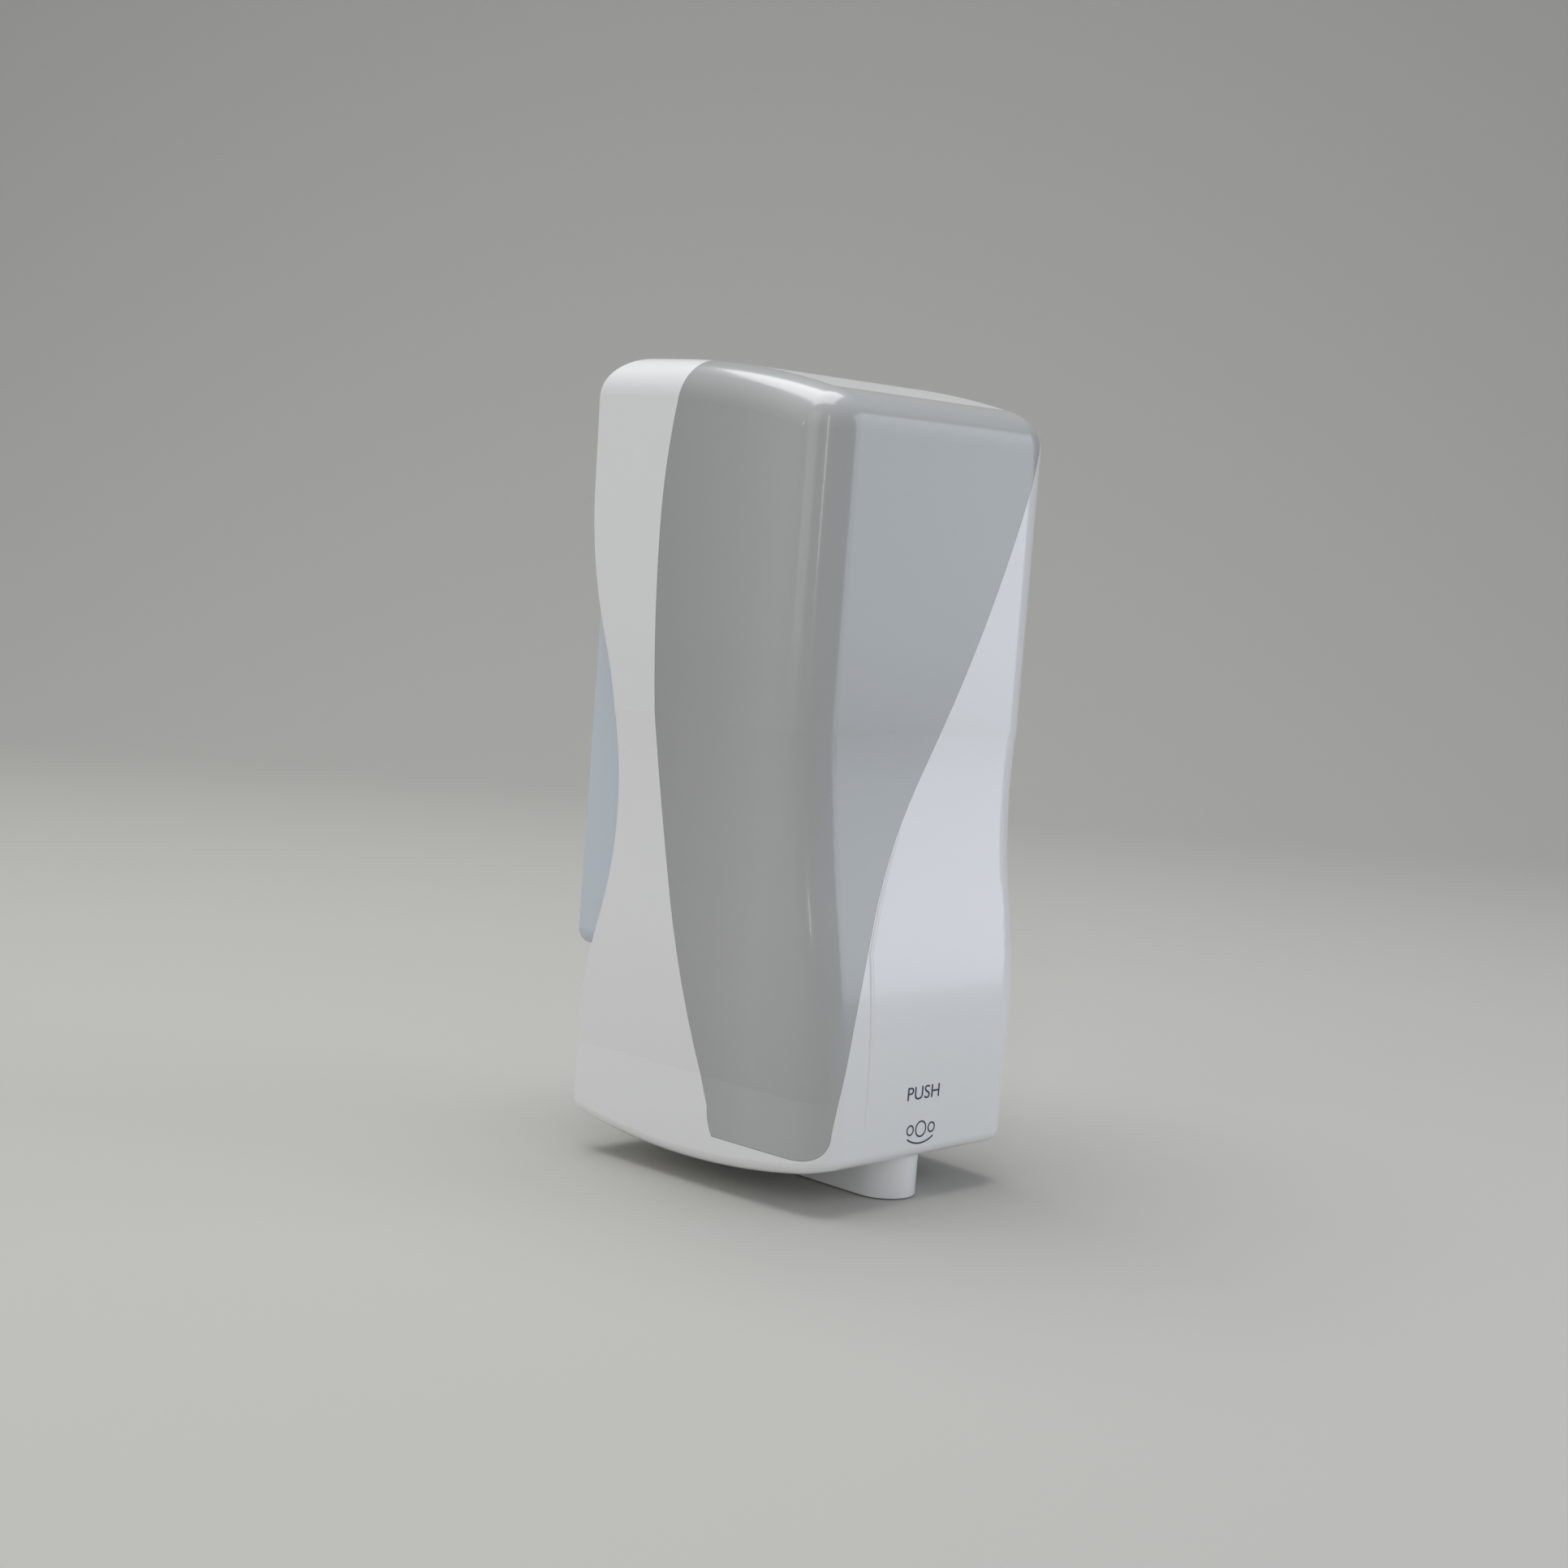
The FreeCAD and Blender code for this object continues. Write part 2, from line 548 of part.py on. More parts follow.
def make_cover():
    outer, inner = cover_form("outer_form", 0), cover_form("inner_form", size("wall"))
    shell = cut("bare_shell", outer, inner)
    common("window_panel", shell, panel_region("panel_space", 0))
    ribs = [push_rib(side, sign, outer) for side, sign in SIDES]
    opened = cut("opened_shell", fuse("ribbed_shell", shell, *ribs),
                 panel_region("panel_opening", size("seam_gap")))
    bosses = [hinge_rod_shape("boss_" + side, size("boss_radius"),
                              mirrored(sign, size("boss_x"), size("half_width") - 1.0))
              for side, sign in SIDES]
    bores = [hinge_rod_shape("boss_bore_" + side, size("rod_radius") + size("running_gap"),
                             mirrored(sign, size("boss_x") - 1.0, size("rod_half") + 0.5))
             for side, sign in SIDES]
    lock_hole = rod("lock_hole", "Z", (size("lock_x"), out("lock_depth")),
                    size("lock_radius") + size("lock_fit"), up(-5.0), up("nut_low"))
    gap, through = size("seam_gap"), (up(-20.0), up(size("collar_rise") + 5.0))
    seat = outlet_way("collar_seat", size("outlet_half") + size("collar_wall") + gap,
                      out("collar_rear_depth") + gap, through)
    slot = outlet_way("outlet_slot", size("outlet_half"), BEHIND, through)
    cut("cover_shell", fuse("cover_body", opened, *bosses), seat, slot, lock_hole, *bores)


def make_panel_clips():
    """Flat clips that bridge the seam behind the panel, on the flank and on the front."""
    half_wide, half_tall = size("clip_width") / 2.0, size("clip_tall") / 2.0
    wall_x = size("wall") - size("half_width")
    wall_y = size("wall") - size("front_depth")
    seam_y = out("panel_rear_depth") - 2.0
    flank = [block("flank_clip_" + height, (wall_x, wall_x + size("clip_thick")),
                   (seam_y - half_wide, seam_y + half_wide),
                   (up("clip_" + height) - half_tall, up("clip_" + height) + half_tall))
             for height in ("low", "mid", "high")]
    front = [block("front_clip_" + height,
                   (size("front_clip_%s_x" % height) - half_wide,
                    size("front_clip_%s_x" % height) + half_wide),
                   (wall_y, wall_y + size("clip_thick")),
                   (up("clip_" + height) - half_tall, up("clip_" + height) + half_tall))
             for height in ("low", "mid")]
    group("panel_clips", *flank, *front)


# ---------------------------------------------------------------- back plate and hinge

def plate_outline(body, name, offset, inset):
    """Upright rectangle with rounded corners, in (X, Z)."""
    half, corner = size("plate_half") - inset, size("plate_corner") - inset
    low, high = up("plate_low") + inset, up("plate_top") - inset
    steps = [line_to(half - corner, low), arc_to(half, low + corner, corner, 1),
             line_to(half, high - corner), arc_to(half - corner, high, corner, 1),
             line_to(corner - half, high), arc_to(-half, high - corner, corner, 1),
             line_to(-half, low + corner), arc_to(corner - half, low, corner, 1)]
    return outline(body, name, "XZ_Plane", offset, (corner - half, low), steps)


def make_ear(side, sign):
    """Lug that carries the rod, standing on the tray's top, clear of the cover's swing."""
    body = new_body("ear_" + side)
    top = up("plate_top")
    points = [(-size("plate_wall") + 1.0, up("ear_foot")), (-size("plate_wall") + 1.0, top),
              (out("hinge_depth") - 4.0, top), (out("hinge_depth") - 3.2, top + 12.0),
              (out("hinge_depth") - 8.0, top + 12.0), (-size("plate_depth"), top),
              (-size("plate_depth"), top - size("flange_wall")),
              (out("ear_step"), top - size("flange_wall")), (out("ear_step"), top - 12.0)]
    x = mirrored(sign, size("ear_x"), size("ear_x") + size("ear_thick"))
    sketch = outline(body, "ear_outline_" + side, "YZ_Plane", x[0], points[0],
                     [line_to(*point) for point in points[1:]])
    extrude(body, "Pad", "ear_pad_" + side, sketch, size("ear_thick"))
    return [body, hinge_rod_shape("ear_ring_" + side, size("ear_ring"), x)]


def make_back_plate():
    tray = new_body("tray")
    extrude(tray, "Pad", "tray_pad", plate_outline(tray, "tray_outline", 0, 0),
            size("plate_depth"))
    hollow = plate_outline(tray, "tray_hollow", size("plate_wall"), size("flange_wall"))
    extrude(tray, "Pocket", "tray_pocket", hollow, size("plate_depth"), True)
    across, rise = size("screw_span_across") / 2.0, size("screw_span_up") / 2.0
    holes = holes_outline(tray, "screw_places", "XZ_Plane", -1.0,
                          [(x, z, size("screw_hole")) for x in (-across, across)
                           for z in (-rise, rise)])
    extrude(tray, "Pocket", "screw_holes", holes, size("plate_wall") + 2.0, True)
    round_edges(tray, "tray_edges", size("plate_edge"), is_wall_side_edge)
    ears = [piece for side, sign in SIDES for piece in make_ear(side, sign)]
    pilot = size("cradle_screw_radius")
    pilots = [rod("pilot_%s_%s" % (side, height), "Y",
                  (sign * size("cradle_screw_x"), up("cradle_screw_" + height)), pilot,
                  out(size("plate_wall") + 1.0), out(0.6))
              for side, sign in SIDES for height in ("low", "high")]
    bore = hinge_rod_shape("ear_bore", size("rod_radius") + size("running_gap") / 3.0,
                           (-FAR_SIDE, FAR_SIDE))
    cut("back_plate", fuse("plate_with_ears", tray, *ears), bore, *pilots)


def is_wall_side_edge(edge):
    """The plate's outline where it meets the wall, without the screw holes."""
    return abs(edge.BoundBox.YMax) < 0.01 and edge.BoundBox.YLength < 0.01 \
        and max(abs(edge.BoundBox.XMin), abs(edge.BoundBox.XMax)) \
        > SIZES["plate_half"] - SIZES["plate_corner"] - 0.01


def make_hinge():
    half = size("rod_half")
    hinge_rod_shape("hinge_rod", size("rod_radius"), (-half, half))
    rings, bushes = [], []
    outer_face = size("arm_x") + size("arm_thick") + 0.3
    for side, sign in SIDES:
        x = mirrored(sign, outer_face, outer_face + size("clip_ring_thick") - 0.2)
        rings.append(cut("retaining_ring_" + side,
                         hinge_rod_shape("ring_disc_" + side, size("clip_ring_radius"), x),
                         hinge_rod_shape("ring_hole_" + side, size("rod_radius") + 0.02, x)))
        x = mirrored(sign, size("arm_x") - 0.2, size("arm_x") + size("arm_thick") + 0.2)
        bush = size("rod_radius") + size("bush_wall")
        bushes.append(cut("bush_" + side, hinge_rod_shape("bush_disc_" + side, bush, x),
                          hinge_rod_shape("bush_hole_" + side,
                                          size("rod_radius") + size("running_gap"), x)))
    group("retaining_rings", *rings)
    group("yoke_bushes", *bushes)


def spring_wire(turns, pitch, radius, axis_turn, start, legs):
    """Centre line of a coil along X, with straight tangent legs at its two ends."""
    coil = Part.makeLongHelix(pitch, pitch * turns, radius)
    coil.Placement = FreeCAD.Placement(start, axis_turn)
    edges = list(coil.Edges)
    first, last = edges[0], edges[-1]
    head, tail = first.valueAt(first.FirstParameter), last.valueAt(last.LastParameter)
    lead, trail = first.tangentAt(first.FirstParameter), last.tangentAt(last.LastParameter)
    if legs:
        edges.insert(0, Part.LineSegment(head - lead * legs, head).toShape())
        edges.append(Part.LineSegment(tail, tail + trail * legs).toShape())
    return Part.Wire(edges)


def wire_solid(path, thickness):
    """Round wire of a radius along a path, closed at both ends."""
    first = path.OrderedEdges[0]
    point, heading = first.valueAt(first.FirstParameter), first.tangentAt(first.FirstParameter)
    ring = Part.Wire(Part.Circle(point, heading, thickness).toShape())
    return path.makePipeShell([ring], True, True)


def shape_node(name, shape):
    node = doc.addObject("Part::Feature", name)
    node.Shape = shape
    return node


def make_return_springs():
    """Two torsion springs on the rod, between the ears and the yoke."""
    springs = []
    along = FreeCAD.Rotation(FreeCAD.Vector(0, 1, 0), 90)
    for side, sign in SIDES:
        edge = sign * SIZES["spring_x"]
        length = SIZES["spring_pitch"] * SIZES["spring_turns"]
        start = FreeCAD.Vector(edge if sign > 0 else edge - length, -SIZES["hinge_depth"],
                               SIZES["hinge_height"] - SIZES["mount_height"])
        path = spring_wire(SIZES["spring_turns"], SIZES["spring_pitch"],
                           SIZES["spring_coil_radius"], along, start, SIZES["spring_leg"])
        springs.append(wire_solid(path, SIZES["spring_wire"]))
    shape_node("return_springs", Part.makeCompound(springs))


# ---------------------------------------------------------------- push yoke and rocker

def side_plate(name, sign, x, points):
    """Flat plate standing in (Y, Z) at one side, from its corners."""
    body = new_body(name)
    low, high = mirrored(sign, *x)
    sketch = outline(body, name + "_outline", "YZ_Plane", low, points[0],
                     [line_to(*point) for point in points[1:]])
    extrude(body, "Pad", name + "_pad", sketch, Size.of(high) - low)
    return body


def yoke_arm(side, sign):
    x = (size("arm_x"), size("arm_x") + size("arm_thick"))
    rear, front = out("arm_rear_depth"), out("arm_front_depth")
    hinge, hinge_z = out("hinge_depth"), up("hinge_height")
    shoulder, foot = up("plate_top"), up("arm_foot")
    points = [(hinge + 3.5, hinge_z + 3.7), (hinge + 3.5, hinge_z - 5.3),
              (-size("plate_depth") - 3.0, shoulder + 1.5), (rear, shoulder - 13.5),
              (rear, foot), (out("foot_depth"), foot), (out("foot_depth"), up("foot_height")),
              (front, up("foot_height") + 4.0), (front, shoulder - 10.5),
              (front + 16.0, shoulder + 11.5), (hinge - 4.5, hinge_z + 6.0)]
    plate = side_plate("arm_" + side, sign, x, points)
    ring = hinge_rod_shape("arm_ring_" + side, size("yoke_ring"), mirrored(sign, *x))
    lug = rod("arm_lug_" + side, "X", (front + size("lug_radius") - 0.3, up("lug_height")),
              size("lug_radius"), *mirrored(sign, size("lug_x"), size("arm_x") + 1.0))
    return [plate, ring, lug]


def make_yoke():
    pieces = [piece for side, sign in SIDES for piece in yoke_arm(side, sign)]
    half = size("arm_x") + 1.0
    bar = block("crossbar", (-half, half),
                (out("crossbar_depth") - 6.0, out("crossbar_depth")),
                (up("crossbar_low"), up("crossbar_low") + size("crossbar_tall")))
    bore = hinge_rod_shape("yoke_bore", size("rod_radius") + size("bush_wall") + 0.02,
                           (-FAR_SIDE, FAR_SIDE))
    slot = block("keeper_slot", (size("arm_x") - 2.0, size("arm_x") + size("arm_thick") + 2.0),
                 (out("slot_front_depth"), out("slot_rear_depth")),
                 (up("slot_low"), up("slot_low") + size("slot_tall")))
    cut("push_yoke", fuse("yoke_frame", *pieces, bar), bore, slot)
    pads = [block("pad_" + side, mirrored(sign, size("arm_x"), size("arm_x") + size("arm_thick")),
                  (out("arm_front_depth") - size("pad_thick"), out("arm_front_depth")),
                  (up("pad_height"), up("pad_height") + size("pad_tall")))
            for side, sign in SIDES]
    group("push_pads", *pads)


def pivot(name, radius, x):
    return rod(name, "X", (out("pivot_depth"), up("pivot_height")), radius, *x)


def make_rocker():
    """Bell crank: the yoke pushes its upright arms back, its fingers lift the pump head."""
    x = (size("rocker_x"), size("rocker_x") + size("rocker_thick"))
    half, centre, low = size("rocker_half"), out("pivot_depth"), up("pivot_height")
    bar_front = out("rocker_bar_depth") - half
    nub_z = up("head_low") - size("seat_gap") - size("nub_radius")
    bar = (nub_z - 5.2, nub_z - 1.2)
    pieces = []
    for side, sign in SIDES:
        upright = [(centre + half, low), (centre + half, up("rocker_top")),
                   (centre - half, up("rocker_top")), (centre - half, low)]
        reach = [(centre, low + 5.0), (centre, low - 5.0), (bar_front, bar[0]),
                 (bar_front, bar[1] + 1.0)]
        pieces += [side_plate("upright_" + side, sign, x, upright),
                   side_plate("reach_" + side, sign, x, reach),
                   pivot("hub_" + side, size("pivot_radius") + 3.0, mirrored(sign, *x))]
        pieces += finger(side, sign, bar_front, bar[0], nub_z)
    span = size("rocker_x") + 1.0
    pieces.append(block("rocker_bar", (-span, span), (bar_front, bar_front + 2.0 * half), bar))
    bores = [pivot("hub_bore_" + side, size("pivot_radius") + size("running_gap"),
                   mirrored(sign, size("rocker_x") - 1.0, size("rocker_x") + 5.0))
             for side, sign in SIDES]
    cut("rocker_lever", fuse("rocker_frame", *pieces), *bores)


def finger(side, sign, rear, low, nub_z):
    """Finger that reaches under the pump head, with the round nub that carries it."""
    x = mirrored(sign, size("finger_x"), size("finger_x") + size("finger_wide"))
    bar = block("finger_" + side, x, (out("pump_depth") - size("nub_radius"), rear + 1.0),
                (low, nub_z))
    return [bar, rod("nub_" + side, "X", (out("pump_depth"), nub_z), size("nub_radius"), *x)]


# ---------------------------------------------------------------- cradle

def make_cradle():
    """Shelf that carries the bottle's collar, with cheeks for the rocker's pins."""
    outer = size("cheek_x") + size("cheek_thick")
    plate, flange = out("plate_wall"), out("plate_wall") - size("plate_wall")
    shelf = (up("shelf_height"), up("shelf_height") + size("shelf_thick"))
    back = block("cradle_back", (-size("cradle_half"), size("cradle_half")), (flange, plate),
                 (up("cradle_low"), up("cradle_top")))
    deck = block("cradle_deck", (-outer, outer), (out("shelf_depth"), plate), shelf)
    centre, low = out("pivot_depth"), up("pivot_height")
    corners = [(flange, shelf[1]), (flange, up("cradle_low")),
               (-size("plate_depth") - 1.0, up("cradle_low")), (centre + 5.0, low - 6.0),
               (centre - 5.0, low - 6.0), (centre - 9.0, low), (centre - 17.0, shelf[1])]
    cheeks = [side_plate("cheek_" + side, sign, (size("cheek_x"), outer), corners)
              for side, sign in SIDES]
    gap = size("cylinder_radius") + size("collar_fit") + 0.4
    neck = rod("cradle_neck", "Z", (0.0, out("pump_depth")), gap, shelf[0] - 1.0, shelf[1] + 1.0)
    mouth = block("cradle_mouth", (-gap, gap), (out("shelf_depth") - 1.0, out("pump_depth")),
                  (shelf[0] - 1.0, shelf[1] + 1.0))
    pin_bore = pivot("pin_bore", size("pivot_radius") + 0.02, (-FAR_SIDE, FAR_SIDE))
    places = [(sign * size("cradle_screw_x"), up("cradle_screw_" + height), side + height)
              for side, sign in SIDES for height in ("low", "high")]
    holes = [rod("cradle_hole_" + tag, "Y", (x, z), size("cradle_screw_radius") + 0.2,
                 flange - 1.0, plate + 1.0) for x, z, tag in places]
    cut("bottle_cradle", fuse("cradle_frame", back, deck, *cheeks), neck, mouth, pin_bore, *holes)
    screws = []
    for x, z, tag in places:
        shank = rod("screw_shank_" + tag, "Y", (x, z), size("cradle_screw_radius") - 0.05,
                    flange - 0.5, out(0.8))
        head = rod("screw_head_" + tag, "Y", (x, z), size("cradle_head_radius"),
                   flange - size("cradle_head_tall"), flange)
        screws.append(fuse("cradle_screw_" + tag, shank, head))
    group("cradle_screws", *screws)
    pins = [pivot("pin_" + side, size("pivot_radius"),
                  mirrored(sign, size("cheek_x") - 0.5,
                           size("rocker_x") + size("rocker_thick") + 0.6))
            for side, sign in SIDES]
    group("rocker_pins", *pins)


# ---------------------------------------------------------------- refill bottle and pump

def upright(name, radius, low, high):
    """Cylinder on the pump's axis."""
    return rod(name, "Z", (0.0, out("pump_depth")), radius, low, high)


def tube(name, outer, inner, low, high):
    return cut(name, upright(name + "_outer", outer, low, high),
               upright(name + "_inner", inner, low - 1.0, high + 1.0))


def bottle_form(name, inset):
    """Rounded box with a neck below it, as the bottle's outside or its inside."""
    body = new_body(name)
    half = size("bottle_half") - inset
    rear, front = out("bottle_rear_depth") - inset, out("bottle_front_depth") + inset
    low, high = up("bottle_low") + inset, up("bottle_top") - inset
    box = outline(body, name + "_plan", "XY_Plane", low, (-half, front),
                  [line_to(half, front), line_to(half, rear), line_to(-half, rear)])
    extrude(body, "Pad", name + "_pad", box, high - low)
    round_edges(body, name + "_round", size("bottle_round") - inset, lambda edge: True)
    neck_low = up("neck_low") - (0.0 if Size.of(inset).value == 0 else 1.0)
    neck = holes_outline(body, name + "_neck", "XY_Plane", neck_low,
                         [(0.0, out("pump_depth"), size("neck_radius") - inset)])
    extrude(body, "Pad", name + "_neck_pad", neck, low + size("bottle_round") - neck_low)
    return body


def make_bottle():
    cut("refill_bottle", bottle_form("bottle_outer", 0),
        bottle_form("bottle_inner", size("bottle_wall")))
    low = up("collar_low")
    cap = upright("collar_disc", size("collar_radius"), low, low + size("collar_tall"))
    bore = upright("collar_bore", size("neck_radius") + size("collar_fit"),
                   low + size("collar_floor"), low + size("collar_tall") + 1.0)
    hole = upright("collar_hole", size("cylinder_radius") + size("collar_fit"), low - 1.0,
                   low + size("collar_floor") + 1.0)
    cut("bottle_collar", cap, bore, hole)
    flange_top = low + size("collar_floor") + size("flange_thick")
    tube("neck_gasket", size("cylinder_flange") - 0.2, size("cylinder_radius") + 0.2,
         flange_top + 0.1, flange_top + 0.1 + size("gasket_thick"))


def make_pump_cylinder():
    flange_low = up("collar_low") + size("collar_floor")
    body = fuse("cylinder_body",
                upright("cylinder_wall", size("cylinder_radius"), up("cylinder_low"),
                        up("cylinder_top")),
                upright("cylinder_rim", size("cylinder_flange"), flange_low,
                        flange_low + size("flange_thick")))
    bore = upright("cylinder_hollow", size("cylinder_bore"),
                   up("cylinder_low") + size("cylinder_end"),
                   up("cylinder_top") - size("cylinder_end"))
    guide = upright("stem_guide", size("stem_radius") + size("running_gap"),
                    up("cylinder_low") - 1.0, up("cylinder_low") + size("cylinder_end") + 1.0)
    inlet = upright("inlet_hole", size("inlet_radius"),
                    up("cylinder_top") - size("cylinder_end") - 1.0, up("cylinder_top") + 1.0)
    cut("pump_cylinder", body, bore, guide, inlet)


def make_inlet_valve():
    """Ball on the inlet hole, kept there by a cage with side windows."""
    seat = up("cylinder_top")
    ball = doc.addObject("Part::Sphere", "inlet_ball")
    ball.setExpression("Radius", size("ball_radius").text)
    rise = (SIZES["ball_radius"] ** 2 - SIZES["inlet_radius"] ** 2) ** 0.5
    place(ball, 0.0, out("pump_depth"), seat + rise + 0.05)
    wall, top = 1.5, seat + size("cage_tall")
    cup = cut("cage_cup", upright("cage_outer", size("cage_radius"), seat, top),
              upright("cage_inner", size("cage_radius") - wall, seat - 1.0, top - wall))
    far = size("cage_radius") + 1.0
    windows = [block("cage_window_" + axis, (-far if axis == "x" else -1.5,
                                             far if axis == "x" else 1.5),
                     (out("pump_depth") - (1.5 if axis == "x" else far),
                      out("pump_depth") + (1.5 if axis == "x" else far)),
                     (seat + 3.0, seat + 6.0)) for axis in ("x", "y")]
    cut("valve_cage", cup, *windows)


def make_pump_spring():
    """Compression spring between the piston and the cylinder's top end."""
    wire, turns = SIZES["pump_spring_wire"], SIZES["pump_spring_turns"]
    low = SIZES["piston_low"] + SIZES["piston_tall"] + wire + 0.2
    high = SIZES["cylinder_top"] - SIZES["cylinder_end"] - wire - 0.2
    start = FreeCAD.Vector(0, -SIZES["pump_depth"], low - SIZES["mount_height"])
    path = spring_wire(turns, (high - low) / turns, SIZES["pump_spring_mean"],
                       FreeCAD.Rotation(), start, 0)
    shape_node("pump_spring", wire_solid(path, wire))


def make_pump_head():
    """Moving head: stem, finger flange and forward spout, with its bore."""
    axis, tip = out("pump_depth"), out("outlet_depth")
    spout_z, radius = up("spout_height"), size("spout_radius")
    tip_top = up("tip_low") + size("tip_tall")
    stem = upright("head_stem", size("stem_radius"), spout_z - radius - 0.8,
                   up("piston_low") + size("piston_tall"))
    flange = upright("head_flange", size("head_radius"), up("head_low"),
                     up("head_low") + size("head_thick"))
    arm = rod("spout_arm", "Y", (0.0, spout_z), radius, tip, axis)
    fall = rod("spout_fall", "Z", (0.0, tip), radius + 0.3, tip_top, spout_z + radius + 0.8)
    bore_up = upright("stem_bore_way", size("stem_bore"), spout_z - 1.0,
                      up("piston_low") + size("piston_tall") + 1.0)
    bore_out = rod("spout_way", "Y", (0.0, spout_z), size("spout_bore"), tip, axis)
    bore_down = rod("fall_way", "Z", (0.0, tip), size("spout_bore") + 0.2, tip_top - 1.0,
                    spout_z + 1.0)
    cut("pump_head", fuse("head_body", stem, flange, arm, fall), bore_up, bore_out, bore_down)
    outer = rod("tip_outer", "Z", (0.0, tip), size("tip_radius"), up("tip_low"), tip_top)
    inner = rod("tip_inner", "Z", (0.0, tip), size("screen_radius") + 0.1, up("tip_low") - 1.0,
                tip_top + 1.0)
    cut("spout_tip", outer, inner)
    screens = [rod("screen_" + tag, "Z", (0.0, tip), size("screen_radius"), height,
                   height + size("screen_thick"))
               for tag, height in (("upper", tip_top - 2.0), ("lower", up("tip_low") + 5.0))]
    group("foam_screens", *screens)


def make_piston():
    low = up("piston_low")
    high, radius = low + size("piston_tall"), size("cylinder_bore") - size("piston_fit")
    groove = (low + size("piston_tall") / 2.0 - size("seal_width") / 2.0,
              low + size("piston_tall") / 2.0 + size("seal_width") / 2.0)
    inner = radius - size("seal_depth")
    ring = tube("piston_groove", radius + 1.0, inner, *groove)
    cut("piston", tube("piston_blank", radius, size("stem_radius") + 0.02, low, high), ring)
    tube("piston_seal", size("cylinder_bore") - 0.04, inner + 0.05, groove[0] + 0.1,
         groove[1] - 0.1)


# ---------------------------------------------------------------- lock

def lock_rod(name, radius, low, high):
    return rod(name, "Z", (size("lock_x"), out("lock_depth")), radius, low, high)


def make_lock():
    """Key lock in the floor: its tongue swings into the slot of the yoke's foot."""
    core = size("lock_core")
    barrel = fuse("lock_barrel",
                  lock_rod("barrel_tube", size("lock_radius"), up("bezel_low"), up("lock_top")),
                  lock_rod("barrel_bezel", size("bezel_radius"), up("bezel_low"),
                           up("bezel_high")))
    cut("lock_housing", barrel,
        lock_rod("barrel_bore", core + size("lock_fit"), up("bezel_low") - 1.0,
                 up("lock_top") + 1.0))
    cut("lock_nut", lock_rod("nut_disc", size("nut_radius"), up("nut_low"),
                             up("nut_low") + size("nut_tall")),
        lock_rod("nut_hole", size("lock_radius") + size("lock_fit"), up("nut_low") - 1.0,
                 up("nut_low") + size("nut_tall") + 1.0))
    half_wide, half_long = size("keyway_wide") / 2.0, size("keyway_long") / 2.0
    keyway = block("keyway", (size("lock_x") - half_wide, size("lock_x") + half_wide),
                   (out("lock_depth") - half_long, out("lock_depth") + half_long),
                   (up("bezel_low") - 1.0, up("bezel_low") + size("keyway_deep")))
    cut("lock_cylinder", lock_rod("core_rod", core, up("bezel_low"), up("core_top")), keyway)
    top = up("core_top") + size("tongue_thick")
    bar = block("tongue_bar", (size("lock_x") - size("tongue_half"),
                               size("lock_x") + size("tongue_half")),
                (out("lock_depth"), out("lock_depth") + size("tongue_reach")),
                (up("core_top"), top))
    fuse("lock_tongue", bar, lock_rod("tongue_hub", core, up("core_top"), top))
    lock_rod("tongue_screw", size("tongue_screw_radius"), top, top + size("tongue_screw_tall"))


# ---------------------------------------------------------------- build and export

NODES = (
    "back_plate", "hinge_rod", "retaining_rings", "return_springs", "bottle_cradle",
    "cradle_screws", "rocker_pins", "refill_bottle", "bottle_collar", "neck_gasket",
    "pump_cylinder", "inlet_ball", "valve_cage", "pump_spring", "pump_head", "piston",
    "piston_seal", "spout_tip", "foam_screens", "rocker_lever", "push_yoke", "yoke_bushes",
    "push_pads", "cover_shell", "window_panel", "outlet_collar", "panel_clips",
    "lock_housing", "lock_nut", "lock_cylinder", "lock_tongue", "tongue_screw",
)


def check_document():
    """Stop if any object failed to build or any sub-part is empty or not valid."""
    failed = [item.Name for item in doc.Objects
              if "Invalid" in item.State or "Error" in item.State]
    if failed:
        raise RuntimeError("failed objects: " + ", ".join(failed))
    for name in NODES:
        shape = doc.getObject(name).Shape
        if shape.isNull() or not shape.isValid() or not shape.Solids:
            raise RuntimeError("bad shape: " + name)


def export_parts():
    os.makedirs("parts", exist_ok=True)
    for name in NODES:
        node = doc.getObject(name)
        node.Label = name
        node.Shape.exportStep("parts/%s.step" % name)


fill_sheet()
make_cover()
make_outlet_collar()
make_panel_clips()
make_back_plate()
make_hinge()
make_return_springs()
make_yoke()
make_rocker()
make_cradle()
make_bottle()
make_pump_cylinder()
make_inlet_valve()
make_pump_spring()
make_pump_head()
make_piston()
make_lock()
doc.recompute()
check_document()
export_parts()
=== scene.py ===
"""Looks of a wall mounted foam soap dispenser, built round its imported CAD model.

The CAD nodes keep their shapes and get procedural finishes.  Pieces that only the eye needs
are added on top and ride on the bodies: printed marks, the rolled edge beside the seam and
the soap in the bottle.  Everything is in metres, in the CAD frame: X across the wall, +Y into
the wall, +Z up, with the origin at the screw pattern's centre.
"""

import json
import logging
import math
from dataclasses import dataclass
from enum import Enum
from typing import Sequence

